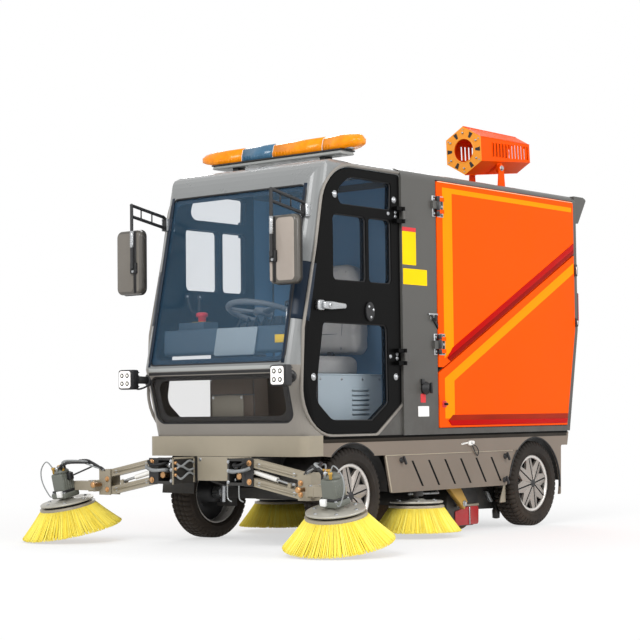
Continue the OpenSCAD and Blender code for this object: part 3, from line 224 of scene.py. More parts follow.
# Columns: colour, roughness, its spread, cloudiness, cloud scale, grain scale, bump, bump depth (m)
FINISHES = {
    # the body grey darkens towards the bottom: painted shade
    "body_grey": row("#51504d", 0.34, 0.06, 0.05, 1.6, 700, 0.04, coat=0.1, coat_rough=0.12, specular=0.3,
                     wear=("#8f9294", 0.004, 0.55), dust=("#3a3632", 0.56, 1.15, 0.6)),
    "cab_grey": row("#7e8080", 0.3, 0.06, 0.05, 1.6, 700, 0.04, coat=0.2, coat_rough=0.12, specular=0.35,
                    wear=("#a2a5a6", 0.004, 0.55)),
    "nose_grey": row("#858079", 0.34, 0.06, 0.06, 1.6, 700, 0.04, coat=0.15, coat_rough=0.12, specular=0.3,
                     wear=("#a8a39c", 0.004, 0.5)),
    # a darker copy of the bumper's trim grey on the side bands, skirts and arch plate: painted shade on the
    # sides
    "skirt_grey": row("#7c7166", 0.45, 0.08, 0.08, 2.2, 520, 0.06, specular=0.25,
                      wear=("#a39888", 0.004, 0.5), dust=("#5c5448", 0.1, 0.5, 0.4)),
    # dark strips standing for the shadow under the body's overhang: painted shadow
    "sill_dark": row("#2c2721", 0.5, 0.08, 0.12, 3.0, 520, 0.06, specular=0.1),
    "sill_shadow": row("#0b0a09", 0.6, 0.08, 0.2, 3.0, 520, 0.06, specular=0.05),
    # paler copy of the skirt grey on the skirt panel's edges: painted highlight
    "skirt_edge": row("#a89e8c", 0.45, 0.08, 0.08, 4.0, 520, 0.06, specular=0.25),
    "trim_grey": row("#9a917f", 0.42, 0.08, 0.07, 2.2, 520, 0.06, coat=0.12, coat_rough=0.3, specular=0.35,
                     wear=("#c2bba9", 0.004, 0.5), dust=("#6f6a5e", 0.1, 0.6, 0.35)),
    "frame_black": row("#1b1b1d", 0.5, 0.1, 0.15, 5.0, 300, 0.12, dust=("#5d574c", 0.0, 0.7, 0.4),
                       wear=("#6b6a68", 0.003, 0.4)),
    "orange": row("#fc5400", 0.4, 0.06, 0.035, 1.2, 800, 0.03, specular=0.05, wear=("#ff9a50", 0.003, 0.4)),
    "stripe_yellow": row("#f79200", 0.4, 0.06, 0.03, 2.0, 600, 0.03, specular=0.05),
    "stripe_red": row("#b50602", 0.4, 0.06, 0.08, 2.0, 600, 0.03, specular=0.06),
    # darker reds for one half of each pressed red bar: painted shade
    "stripe_dark": row("#8f0a02", 0.4, 0.06, 0.12, 2.0, 600, 0.03, specular=0.06),
    "stripe_brown": row("#972408", 0.4, 0.06, 0.14, 3.0, 600, 0.03, specular=0.06),
    "door_black": row("#080808", 0.36, 0.06, 0.2, 2.4, 700, 0.03, specular=0.07,
                      wear=("#2c2a28", 0.003, 0.3)),
    "tyre": row("#211c18", 0.78, 0.08, 0.18, 7.0, 420, 0.2, 0.0008, specular=0.3,
                dust=("#5a4c3e", 0.0, 0.5, 0.35)),
    "wheel": row("#9c958e", 0.3, 0.06, 0.06, 4.0, 500, 0.03, metallic=0.55, coat=0.1,
                 wear=("#e6e7ea", 0.003, 0.5)),
    # paler copy of the wheel metal on the rim: painted highlight
    "wheel_lip": row("#d2cec9", 0.3, 0.06, 0.06, 4.0, 500, 0.03, metallic=0.4, coat=0.1),
    # dark for the wheel's dish and grooves, painted shade in the recesses, and for dark parts of the cannon
    "wheel_dark": row("#1b1b1d", 0.5, 0.1, 0.15, 6.0, 300, 0.1),
    "steel": row("#b4b6b8", 0.3, 0.1, 0.08, 6.0, 260, 0.08, stretch=(1, 1, 8), metallic=0.9),
    "brass": row("#c79a6c", 0.34, 0.1, 0.12, 10.0, 300, 0.08, metallic=0.85),
    "roller": row("#5a4630", 0.85, 0.08, 0.3, 30.0, 400, 0.5, 0.002, stretch=(8, 1, 1)),
    "hood_red": row("#b5202a", 0.42, 0.1, 0.12, 5.0, 400, 0.06, wear=("#7a5a4a", 0.004, 0.6),
                    dust=("#7d6a58", 0.0, 0.4, 0.3)),
    "seat_base": row("#b2c0c9", 0.42, 0.08, 0.06, 2.0, 500, 0.05, wear=("#c2ccd2", 0.004, 0.4)),
    "dash": row("#3d4f5e", 0.6, 0.08, 0.08, 4.0, 900, 0.25, 0.0005),
    "black_plastic": row("#1a1a1c", 0.48, 0.1, 0.12, 6.0, 800, 0.18, 0.0005),
    "rubber": row("#141416", 0.62, 0.08, 0.15, 9.0, 600, 0.15, 0.0005),
    "lamp_red": row("#a8100c", 0.14, 0.05, 0.12, 14.0, 160, 0.2, 0.001, coat=0.6, coat_rough=0.05),
    "amber": row("#fa8e00", 0.2, 0.05, 0.2, 26.0, 90, 0.3, 0.002, coat=0.12, coat_rough=0.05, specular=0.2),
    "lens_blue": row("#3f6884", 0.16, 0.05, 0.16, 22.0, 90, 0.3, 0.002, coat=0.25, coat_rough=0.05,
                     specular=0.3),
    "white": row("#e9e8e4", 0.34, 0.08, 0.05, 5.0, 500, 0.05, wear=("#a8a49c", 0.003, 0.5)),
    "battery": row("#3b3e41", 0.6, 0.08, 0.1, 6.0, 500, 0.12),
    # faint glow of the cab's lining: painted light
    "lining": row("#4f6f8c", 0.66, 0.08, 0.08, 3.0, 650, 0.2, 0.0006, emission=0.12),
    "navy": row("#142232", 0.3, 0.04, 0.18, 3.0, 700, 0.02, specular=0.2),
    "plate_yellow": row("#f6cb00", 0.45, 0.06, 0.05, 5.0, 500, 0.04, specular=0.1),
    "plate_white": row("#eeeeec", 0.45, 0.06, 0.04, 6.0, 500, 0.04),
    "tag_red": row("#d2252c", 0.42, 0.06, 0.08, 6.0, 500, 0.04),
    "motor_green": row("#63665e", 0.46, 0.08, 0.1, 8.0, 400, 0.1, wear=("#b3b6a8", 0.003, 0.5)),
    "ochre": row("#b9923f", 0.5, 0.1, 0.15, 7.0, 400, 0.1, wear=("#6f5a34", 0.003, 0.5)),
    # one mirror finish, paler on the near mirror and darker on the far one: painted light and shade
    "mirror_shell_lit": row("#9b9188", 0.4, 0.08, 0.08, 4.0, 500, 0.06, coat=0.1, specular=0.3),
    "mirror_shell_shaded": row("#6c6760", 0.4, 0.08, 0.08, 4.0, 500, 0.06, coat=0.1, specular=0.3),
    "mirror_rim": row("#4c4842", 0.4, 0.08, 0.1, 4.0, 500, 0.06, coat=0.2),
    "mirror_glass": row("#dfe4e8", 0.06, 0.02, 0.03, 3.0, 200, 0.0, metallic=1.0),
    "disc_grey": row("#a9a69c", 0.4, 0.08, 0.06, 6.0, 400, 0.06, wear=("#d2d0c8", 0.003, 0.5), metallic=0.3),
    "cannon_yellow": row("#ff9c0a", 0.34, 0.06, 0.05, 4.0, 600, 0.04, coat=0.3, wear=("#ffc060", 0.003, 0.4)),
    "wire": row("#8c8f90", 0.45, 0.1, 0.12, 40.0, 500, 0.1),
    "steel_pale": row("#a7aaaa", 0.3, 0.08, 0.06, 6.0, 300, 0.06, metallic=0.4, stretch=(8, 1, 1)),
    "ledge": row("#9ea09e", 0.4, 0.06, 0.05, 3.0, 600, 0.04, specular=0.3),
    "grip": row("#686d72", 0.5, 0.08, 0.1, 12.0, 700, 0.2, 0.0005),
    # dark brown covers on the pedestal and the seat box front: painted shade
    "panel_brown": row("#3d332b", 0.6, 0.08, 0.15, 6.0, 500, 0.08),
    "panel_olive": row("#68645a", 0.6, 0.08, 0.08, 5.0, 500, 0.08),
    "dash_pale": row("#98a4ab", 0.55, 0.08, 0.06, 5.0, 800, 0.15, 0.0005),
    "lamp_face": row("#fbf7f3", 0.3, 0.05, 0.02, 12.0, 300, 0.05, emission=0.25),
    # pale strip on the orange panel's top edge: painted highlight
    "edge_highlight": row("#ffc9a0", 0.4, 0.06, 0.06, 6.0, 500, 0.04, specular=0.2),
    "led": row("#f6f4ea", 0.2, 0.05, 0.05, 60.0, 300, 0.2, 0.0006, coat=0.5),
    # darker bristle yellow for the cone inside the tufts: painted shade
    "bristle_shade": row("#d6a400", 0.7, 0.08, 0.15, 30.0, 300, 0.3, 0.001, stretch=(1, 1, 0.2)),
    "seam": row("#5d656b", 0.7, 0.06, 0.1, 30.0, 900, 0.2),
}
M = {name: finish(name, *values, **extras) for name, (values, extras) in FINISHES.items()}


def glass(name, code, alpha, rough=0.03):
    s = Shader(name)
    base = linear(code)
    s.feed(s.mix(s.cloud(2.0, 4.0, 0.6), scaled(base, 0.85), scaled(base, 1.15)), "Base Color")
    s.feed(s.cloud(14.0, 4.0, 0.6, None, rough, rough + 0.05), "Roughness")
    s.set(alpha=alpha, coat=0.4, coat_rough=0.02, specular=0.5)
    return s.mat


def bristles(name, dark, light, spread):
    """Bristle fibres: each strand carries its own shade in the strand attribute."""
    s = Shader(name)
    strand = s.node("ShaderNodeAttribute", attribute_name="strand").outputs["Fac"]
    fibre = s.noise(60.0, 3.0, 0.6, (1, 1, 0.2))
    share = s.maths("ADD", s.maths("MULTIPLY", strand, 1 - spread), s.maths("MULTIPLY", fibre, spread))
    s.feed(s.mix(share, linear(dark), linear(light)), "Base Color")
    s.feed(s.ranged(fibre, 0.3, 0.7, 0.45, 0.65), "Roughness")
    s.bump(s.noise(500.0, 2.0), 0.1, 0.0004)
    s.set(specular=0.15)
    return s.mat


def leather(name, code):
    """Grained seat cover."""
    s = Shader(name)
    base = linear(code)
    cells = s.node("ShaderNodeTexVoronoi")
    cells.inputs["Scale"].default_value = 420.0
    s.link(s.coord, cells.inputs["Vector"])
    s.feed(s.mix(s.cloud(5.0, 5.0, 0.6), scaled(base, 0.85), scaled(base, 1.12)), "Base Color")
    s.feed(s.cloud(24.0, lo=0.34, hi=0.5), "Roughness")
    s.bump(cells.outputs["Distance"], 0.25, 0.0006)
    s.set(coat=0.1)
    return s.mat


M["glass"] = glass("glass", "#4f7694", 0.13)
M["glass_low"] = glass("glass_low", "#4a4036", 0.06)
M["glass_door"] = glass("glass_door", "#33485d", 0.07)
M["bristle"] = bristles("bristle", "#f4d630", "#fff480", 0.3)
M["seat"] = leather("seat", "#b4b2b0")

# Mesh helpers


def facing(at, direction):
    """Frame at a point whose z runs along direction."""
    z = Vector(direction).normalized()
    up = Vector(UP if abs(z.z) <= 0.95 else BEHIND)
    x = up.cross(z).normalized()
    m = Matrix((x, z.cross(x), z)).transposed().to_4x4()
    m.translation = Vector(at)
    return m


def on_side(x):
    """Plane x seen from outside: its coordinates are station and height, its depth runs outwards."""
    return Matrix(((0, 0, 1, x), (1, 0, 0, 0), (0, 1, 0, 0), (0, 0, 0, 1)))


def on_front(s):
    """Plane at station s seen from ahead: its coordinates are x and height, its depth runs forwards."""
    return move((0, s, 0)) @ turn(math.pi / 2, "X")


def smooth_path(points, per):
    """Catmull-Rom curve through the points."""
    pts = [Vector(p) for p in points]
    pts = [pts[0] * 2 - pts[1]] + pts + [pts[-1] * 2 - pts[-2]]
    out = []
    for i in range(1, len(pts) - 2):
        a, b, c, d = pts[i - 1:i + 3]
        for t in [k / per for k in range(per)]:
            out.append(0.5 * ((2 * b) + (c - a) * t + (2 * a - 5 * b + 4 * c - d) * t * t
                              + (3 * b - a - 3 * c + d) * t ** 3))
    return out + [pts[-2]]


def rounded(points, n=5):
    """Outline with arcs: each point is x, y and, where its corner is round, the radius."""
    out = []
    for i, (x, y, *radius) in enumerate(points):
        b = Vector((x, y))
        if not radius or radius[0] <= 0:
            out.append((x, y))
            continue
        r = radius[0]
        u = (Vector(points[i - 1][:2]) - b).normalized()
        w = (Vector(points[(i + 1) % len(points)][:2]) - b).normalized()
        half = math.acos(max(-1, min(1, u.dot(w)))) / 2
        d = r / math.tan(half)
        centre = b + (u + w).normalized() * (r / math.sin(half))
        p, q = b + u * d - centre, b + w * d - centre
        out += [tuple(centre + p.lerp(q, k / n).normalized() * r) for k in range(n + 1)]
    return out


def rect(x0, y0, x1, y1, r=0):
    return [(x0, y0, r), (x1, y0, r), (x1, y1, r), (x0, y1, r)]


def circle(n, r, start=0.0):
    angles = [start + math.tau * i / n for i in range(n)]
    return [(r * math.cos(a), r * math.sin(a)) for a in angles]


def skin(rows, n, closed=False):
    """Faces between rings of n points that follow one another."""
    faces = []
    for k in range(rows if closed else rows - 1):
        a, b = k * n, (k + 1) % rows * n
        faces += [(a + i, a + (i + 1) % n, b + (i + 1) % n, b + i) for i in range(n)]
    return faces


def ends(rows, n):
    return [tuple(range(n))[::-1], tuple(range((rows - 1) * n, rows * n))]


class Piece:
    """Collects many small shapes into one mesh."""

    def __init__(self, side=1):
        self.bm = bmesh.new()
        self.side = side
        self.strand = []

    def add(self, points, faces, mat=0, smooth=False):
        verts = [self.bm.verts.new(p) for p in points]
        for f in faces:
            face = self.bm.faces.new([verts[i] for i in f])
            face.material_index = mat
            face.smooth = smooth

    def block(self, size, matrix, mat=0, edge=2, steps=2):
        """Box with rounded edges, its middle on the matrix's origin."""
        b = bmesh.new()
        bmesh.ops.create_cube(b, size=1.0)
        bmesh.ops.scale(b, vec=Vector(size), verts=b.verts)
        if edge:
            offset = min(edge, min(size) * 0.45)
            bmesh.ops.bevel(b, geom=b.edges[:], offset=offset, segments=steps, profile=0.5, affect="EDGES",
                            clamp_overlap=True)
        b.verts.index_update()
        faces = [[v.index for v in f.verts] for f in b.faces]
        self.add([matrix @ v.co for v in b.verts], faces, mat, True)
        b.free()

    def box(self, lo, hi, mat=0, edge=2, steps=2):
        lo, hi = Vector(map(min, lo, hi)), Vector(map(max, lo, hi))
        self.block(hi - lo, move((lo + hi) / 2), mat, edge, steps)

    def prism(self, outline, matrix, depth, mat=0, bevel=0, steps=2, arcs=5):
        """Outline in the matrix's xy plane, raised along its z by depth, upper edge rounded by bevel."""
        pts = [Vector(p) for p in rounded(outline, arcs)]
        n = len(pts)
        if sum(pts[i - 1].x * pts[i].y - pts[i].x * pts[i - 1].y for i in range(n)) <= 0:
            pts.reverse()
        rings = [(0, 0)]
        if bevel:
            for a in [math.pi / 2 * i / steps for i in range(steps + 1)]:
                rings.append((depth - bevel + bevel * math.sin(a), bevel * (1 - math.cos(a))))
        else:
            rings.append((depth, 0))
        points = []
        for z, inset in rings:
            for i in range(n):
                e1, e2 = (pts[i] - pts[i - 1]).normalized(), (pts[(i + 1) % n] - pts[i]).normalized()
                n1, n2 = Vector((-e1.y, e1.x)), Vector((-e2.y, e2.x))
                m = n1 + n2
                m = m / max(0.35, m.dot(n1)) if m.length > 1e-6 else n1
                points.append(matrix @ (pts[i] + m * inset).to_3d() + matrix.to_3x3() @ Vector((0, 0, z)))
        self.add(points, ends(len(rings), n) + skin(len(rings), n), mat, bool(bevel))

    def lathe(self, profile, matrix, n=24, mat=0, smooth=True, caps=True):
        """Radius and height pairs turned round the matrix's z."""
        points = [matrix @ Vector((x, y, z)) for r, z in profile for x, y in circle(n, r)]
        faces = skin(len(profile), n)
        if caps:
            faces += ends(len(profile), n)
        self.add(points, faces, mat, smooth)

    def tube(self, path, radius, n=8, mat=0, ripple=0.0, closed=False):
        """Round tube along the points; ripple makes a corrugated hose."""
        pts = [Vector(p) for p in path]
        count = len(pts)
        up = Vector((0.123 * self.side, 0.456, 0.881))
        points = []
        for i, p in enumerate(pts):
            if closed:
                d = (pts[(i + 1) % count] - pts[i - 1]).normalized()
            else:
                d = (pts[min(i + 1, count - 1)] - pts[max(i - 1, 0)]).normalized()
            side = d.cross(up)
            if side.length < 0.1:
                side = d.cross(Vector(OUT))
            side.normalize()
            up = side.cross(d).normalized()
            swell = 1 + ripple * (1 if i % 2 else -1)
            points += [p + side * x + up * y for x, y in circle(n, radius * swell)]
        self.add(points, skin(count, n, closed) + ([] if closed else ends(count, n)), mat, True)

    def hose(self, points, per, radius, n=8, mat=0, ripple=0.0):
        """Tube along a smooth curve through the points."""
        self.tube(smooth_path(points, per), radius, n, mat, ripple)

    def bolt(self, at, direction, r=7, h=5, mat=0, washer=True):
        """Hexagon head on a washer, standing along the direction."""
        m = facing(at, direction)
        if washer:
            self.lathe([(r * 1.35, 0), (r * 1.35, h * 0.25), (r * 1.2, h * 0.34)], m, 16, mat)
        self.lathe([(r, 0), (r, h * 0.85), (r * 0.86, h)], m @ turn(0.3 * self.side, "Z"), 6, mat, False)

    def dome(self, at, direction, r, h, mat=0, n=20):
        arc = [math.pi / 2 * i / 5 for i in range(5)]
        profile = [(r * math.cos(a), h * math.sin(a)) for a in arc] + [(r * 0.04, h)]
        self.lathe(profile, facing(at, direction), n, mat)

    def done(self, name, mats, body, slot=None, replaces=()):
        place = TO_FRAME @ Matrix.Diagonal((self.side, 1, 1, 1))
        for v in self.bm.verts:
            v.co = place @ v.co
        for e in self.bm.edges:
            if len(e.link_faces) == 2 and e.calc_face_angle(0.0) > 0.75:
                e.smooth = False
        bmesh.ops.recalc_face_normals(self.bm, faces=self.bm.faces[:])
        bmesh.ops.delete(self.bm, geom=[v for v in self.bm.verts if not v.link_faces], context="VERTS")
        mesh = bpy.data.meshes.new(name)
        self.bm.to_mesh(mesh)
        self.bm.free()
        for m in mats.split():
            mesh.materials.append(M[m])
        if self.strand:
            attribute = mesh.attributes.new("strand", "FLOAT", "POINT")
            attribute.data.foreach_set("value", np.array(self.strand, np.float32))
        obj = bpy.data.objects.new(name, mesh)
        bpy.context.scene.collection.objects.link(obj)
        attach(obj, body)
        if replaces:
            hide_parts(*replaces)
        return obj


def dress(name, *mats):
    mesh = nodes[name].data
    mesh.materials.clear()
    for m in mats:
        mesh.materials.append(M[m])


# Camera as solved from the photo, lights, white surroundings, floor

CAMERA_AT, FOCAL, SENSOR = (6.389, -8.002, 0.693), 99.17, 36.0
yaw, pitch, roll = math.radians(39.826), math.radians(3.007), math.radians(-0.660)
ahead = Vector((-math.sin(yaw) * math.cos(pitch), math.cos(yaw) * math.cos(pitch), math.sin(pitch)))
right = Vector((math.cos(yaw), math.sin(yaw), 0))
above = right.cross(ahead)
right, above = (right * math.cos(roll) + above * math.sin(roll),
                above * math.cos(roll) - right * math.sin(roll))
camera = bpy.data.objects.new("camera", bpy.data.cameras.new("camera"))
bpy.context.scene.collection.objects.link(camera)
place = Matrix((right, above, -ahead)).transposed().to_4x4()
place.translation = Vector(CAMERA_AT)
camera.matrix_world = place
camera.data.sensor_width = SENSOR
camera.data.lens = FOCAL
camera.data.clip_end = 200.0
bpy.context.scene.camera = camera


def area_light(name, at, target, power):
    data = bpy.data.lights.new(name, "AREA")
    data.shape = "RECTANGLE"
    data.size, data.size_y = 4.0, 3.0
    data.energy = power
    obj = bpy.data.objects.new(name, data)
    obj.location = at
    obj.rotation_mode = "QUATERNION"
    obj.rotation_quaternion = (Vector(target) - Vector(at)).to_track_quat("-Z", "Y")
    bpy.context.scene.collection.objects.link(obj)


area_light("key", (2.5, -7.5, 5.5), (0, -0.3, 1.0), 400)
area_light("fill", (8.0, 1.0, 4.0), (0, 0.3, 1.1), 270)
area_light("back", (-5.0, 6.0, 5.0), (0, 0, 1.2), 260)

AMBIENT = 0.725
world = bpy.data.worlds.new("studio")
bpy.context.scene.world = world
world.use_nodes = True
studio = Graph(world.node_tree)
background = studio.tree.nodes["Background"].inputs
background["Color"].default_value = (1.0, 1.0, 1.0, 1.0)
studio.link(studio.ranged(studio.background_rays(), 0.0, 1.0, AMBIENT, 1.0), background["Strength"])

floor_mesh = bpy.data.meshes.new("floor")
floor_mesh.from_pydata([(-60, -60, 0), (60, -60, 0), (60, 60, 0), (-60, 60, 0)], [], [(0, 1, 2, 3)])
floor = bpy.data.objects.new("floor", floor_mesh)
bpy.context.scene.collection.objects.link(floor)
pale = Shader("floor_pale")
pale.feed(pale.mix(pale.noise(0.8, 3.0), (0.84, 0.84, 0.84, 1.0), (0.87, 0.87, 0.87, 1.0)), "Base Color")
pale.set(roughness=0.9, specular=0.1)
blend = pale.node("ShaderNodeMixShader")
distance = pale.node("ShaderNodeVectorMath", operation="LENGTH")
pale.link(pale.coord, distance.inputs[0])
far = pale.ranged(distance.outputs["Value"], 2.2, 5.0, 0.6, 1.0)
pale.link(pale.maths("MULTIPLY", pale.background_rays(), far), blend.inputs["Fac"])
pale.link(pale.bsdf.outputs[0], blend.inputs[1])
pale.link(pale.node("ShaderNodeEmission").outputs[0], blend.inputs[2])
pale.link(blend.outputs[0], pale.tree.nodes["Material Output"].inputs["Surface"])
floor_mesh.materials.append(pale.mat)

# Finishes of the carried-over solids

# the side bands and skirt panels take a darker copy of the bumper's grey: painted shade
NODE_FINISH = {"roller_hood": "frame_black", "cab_frame": "cab_grey", "cab_nose": "nose_grey",
               "side_bands": "skirt_grey", "skirt_panels": "skirt_grey", "door_glass_left": "glass_door",
               "door_glass_right": "glass_door"}
for entry in frame["record"]["subparts"]:
    slot_name = entry["material_slot"]
    dress(entry["node"], NODE_FINISH.get(entry["node"], "amber" if slot_name == "lens" else slot_name))
# the lower front pane is nearly clear, the windscreen tinted; they part at this height in metres
LOW_PANE_TOP = 0.93
dress("cab_glass", "glass", "glass_low")
for face in nodes["cab_glass"].data.polygons:
    if (nodes["cab_glass"].matrix_world @ face.center).z < LOW_PANE_TOP:
        face.material_index = 1

# Orange side panels: stripes and pressed bars

PANEL = on_side(575)
PANEL_FRONT, PANEL_REAR, SEAM_FRONT, SEAM_REAR = 758, 2205, 912, 1660


def on_seam(s, rise=0):
    """Point above the slanting seam between the upper and the lower panel."""
    slope = (SEAM_REAR - SEAM_FRONT) / (PANEL_REAR - PANEL_FRONT)
    return s, SEAM_FRONT + slope * (s - PANEL_FRONT) + rise


for name, side in SIDES:
    door = "side_door_" + name
    film = Piece(side)
    film.prism([(812, 1957), (2184, 1952), (2184, 1924), (903, 1928), on_seam(903, 62), on_seam(812, 50)],
               PANEL, 0.6)
    film.done("stripe_upper_" + name, "stripe_yellow", door, "orange")
    bar = Piece(side)
    # the upper half is red, the lower half a darker red as painted shade
    bar.prism([on_seam(838, 38), on_seam(890, 72), on_seam(2200, 72), on_seam(2200, 34)], PANEL, 5, 0, 4, 3)
    bar.prism([on_seam(840, 36), on_seam(866, 8), on_seam(2200, 8), on_seam(2200, 36)], PANEL, 4, 1, 3, 3)
    bar.done("bar_upper_" + name, "stripe_red stripe_dark", door, "orange")
    film = Piece(side)
    film.prism([(812, 652), on_seam(812, -62), on_seam(2198, -50), on_seam(2198, -114), on_seam(903, -122),
                (903, 652)], PANEL, 0.6)
    film.done("stripe_lower_" + name, "stripe_yellow", "chassis", "orange")
    bar = Piece(side)
    # the upper half is a darker brown-red as painted shade, the lower half red
    bar.prism([(842, 640), (884, 672), (2100, 672), (2096, 640)], PANEL, 4, 1, 3, 3)
    bar.prism([(838, 642), (870, 612), (2084, 612), (2098, 642)], PANEL, 6, 0, 4, 3)
    bar.done("bar_lower_" + name, "stripe_red stripe_brown", "chassis", "orange")
    # painted highlight: a pale strip along the panel's top edge
    edge = Piece(side)
    edge.box((575, 764, 1984), (577, 2200, 1988), 0, 0.8, 1)
    edge.done("panel_highlight_" + name, "edge_highlight", door, "orange")
    # painted shadow: dark strips under the body's overhang, darkest at the top, between the body and the
    # panels below it
    strip = Piece(side)
    strip.box((553, -246, 534), (562, 2106, 556), 0, 3)
    strip.box((553, -246, 553), (564, 2112, 567), 1, 3)
    strip.done("sill_shadow_strip_" + name, "sill_dark sill_shadow", "chassis", "black_plastic")
# Rubber seals behind the panel gaps
for name, side in SIDES:
    seal = Piece(side)
    for s0, z0, s1, z1 in ((751, 603, 757, 1993), (2205, 1192, 2211, 1995), (753, 1990, 2209, 1996)):
        seal.box((548, s0, z0), (563, s1, z1), 0, 1.5, 1)
    for s0, s1 in ((757, 1200), (1200, 1700), (1700, 2206)):
        seal.tube([(556, *on_seam(s0)), (556, *on_seam(s1))], 5.5)
    seal.done("panel_seals_" + name, "rubber", "chassis", "black_plastic")

# Hinges, handles, catches

for name, side in SIDES:
    fixed, moving = Piece(side), Piece(side)
    for z in (1067, 1844):
        fixed.box((569.5, 718, z - 60), (573.5, 751, z + 60), 0, 1.5)
        moving.box((574.5, 760, z - 60), (578.5, 816, z + 60), 0, 1.5)
        fixed.box((573, 730, z - 54), (575, 748, z + 54), 2, 0.8, 1)
        moving.box((578, 790, z - 54), (580, 811, z + 54), 2, 0.8, 1)
        for dz in (-40, 0, 40):
            fixed.bolt((574.5, 738, z + dz), OUT, 6, 4, 1)
            moving.bolt((579.5, 801, z + dz), OUT, 6, 4, 1)
        for a, b, leaf in ((-56, -28, moving), (-26, 26, fixed), (28, 56, moving)):
            leaf.lathe([(10.5, a), (11.5, a + 2), (11.5, b - 2), (10.5, b)], move((587, 754, z)), 20, 2)
    fixed.done("hinge_plates_" + name, "steel steel black_plastic", "chassis", "steel")
    moving.done("hinge_straps_" + name, "steel steel black_plastic", "side_door_" + name, "steel")

DOOR_X = 556
DOOR_KNOBS = ((-124, 1839), (386, 1850), (-312, 877), (385, 883))
DOOR_BOLTS = ((333, 1772), (398, 1784), (397, 1760), (338, 993), (398, 1007), (397, 983))
LEVER = [(-262, 1229, 10), (-190, 1227, 10), (-76, 1236, 12), (-76, 1262, 12), (-190, 1270, 10),
         (-262, 1268, 10)]
for name, side in SIDES:
    door = Piece(side)
    for s, z in DOOR_KNOBS:
        door.dome((DOOR_X + 1, s, z), OUT, 15, 9, 1)
        door.lathe([(19, 0), (19, 1.5), (16, 2)], facing((DOOR_X, s, z), OUT), 20, 1)
    for s, z in DOOR_BOLTS:
        door.bolt((DOOR_X, s, z), OUT, 8, 6, 1)
    # lever handle with its key boss
    door.prism(LEVER, on_side(572), 21, 1, 8, 4)
    door.prism(rect(-292, 1222, -236, 1276, 14), on_side(DOOR_X), 22, 1, 6, 3)
    door.lathe([(15, 0), (15, 4), (13, 6), (4, 6.5)], facing((592, -212, 1249), OUT), 24, 1)
    door.box((598, -213.5, 1242), (599, -210.5, 1256), 0, 0)
    # oval lock plate
    door.prism([(157 + 36 * x, 1230 + 52 * y) for x, y in circle(36, 1)], on_side(DOOR_X), 12, 2, 6, 4)
    for s, z in ((143, 1256), (180, 1240), (160, 1200)):
        door.dome((567, s, z), OUT, 8, 5, 1)
    door.done("door_fittings_" + name, "black_plastic steel rubber", "cab_door_" + name, "steel")

# Rubber round the cab doors' windows
WINDOWS = (
    [(-115, 1790, 45), (356, 1790, 20), (364, 1940, 20), (0, 1944, 130), (-85, 1880, 30)],
    [(-142, 1386, 30), (136, 1386, 25), (136, 1736, 25), (-142, 1736, 30)],
    [(160, 1386, 25), (358, 1386, 30), (358, 1736, 30), (160, 1736, 25)],
    [(-228, 1164, 30), (314, 1162, 30), (318, 740, 30), (176, 648, 30), (-160, 650, 110), (-300, 760, 80)],
)
for name, side in SIDES:
    rubber = Piece(side)
    for window in WINDOWS:
        rubber.tube([(545, *p) for p in rounded(window, 6)], 5, closed=True)
    rubber.done("window_rubber_" + name, "rubber", "cab_door_" + name, "black_plastic")

# Grey side panel behind the left door: blank plates, switch with its tag
GREY = on_side(570)
plates = Piece()
plates.prism(rect(439, 1500, 563, 1684, 3), GREY, 1.2, 0)
plates.prism(rect(439, 1685, 563, 1707, 3), GREY, 1.2, 1)
plates.prism(rect(443, 1391, 662, 1479, 3), GREY, 1.2, 0)
plates.done("blank_plates", "plate_yellow tag_red", "chassis", "body_grey")
knob = Piece()
m = facing((570, 628, 822), OUT)
knob.lathe([(36, 0), (36, 12), (30, 16), (26, 34), (20, 38), (3, 39)], m, 28, 0)
knob.block((12, 60, 18), m @ move((0, 0, 46)), 0, 4)
knob.box((570, 590, 842), (584, 612, 872), 0, 3)
knob.prism(rect(588, 742, 634, 790, 4), GREY, 1.4, 1)
knob.prism(rect(564, 665, 664, 722, 4), GREY, 1.2, 2)
knob.done("isolator_switch", "black_plastic tag_red plate_white", "chassis", "black_plastic")

for name, side in SIDES:
    catch = Piece(side)
    catch.box((570, 688, 1206), (574, 722, 1232), 0, 1.5)
    catch.box((574, 700, 1212), (598, 716, 1226), 0, 3)
    catch.box((590, 700, 1196), (600, 718, 1230), 1, 3)
    catch.box((571, 668, 1228), (579, 750, 1240), 0, 2)
    catch.prism([(684, 1229), (700, 1229), (752, 1176), (752, 1156)], GREY, 10, 1, 2)
    catch.done("door_catch_" + name, "steel rubber", "chassis", "steel")
    latch = Piece(side)
    latch.prism(rect(785, 714, 822, 752, 8), PANEL, 4, 1, 2)
    latch.block((10, 14, 40), facing((582, 803, 733), OUT) @ turn(0.5 * side, "Z"), 0, 3)
    latch.done("panel_latch_" + name, "black_plastic tag_red", "chassis", "black_plastic")
    rear = Piece(side)
    for z0, z1 in ((1525, 1600), (1210, 1262)):
        rear.box((570, 2209, z0), (582, 2236, z1), 0, 4)
        rear.box((582, 2213, z0 + 12), (590, 2229, z1 - 14), 1, 3)
    rear.done("rear_latches_" + name, "black_plastic steel", "chassis", "black_plastic")

# Tyres and wheels

TYRE_R, TYRE_W, RIM_R, WHEEL_X, WHEELBASE = 254, 145, 171, 483, 1748
PITCHES, LUG_DEPTH, LUG_SKEW = 52, 7.5, 0.00035


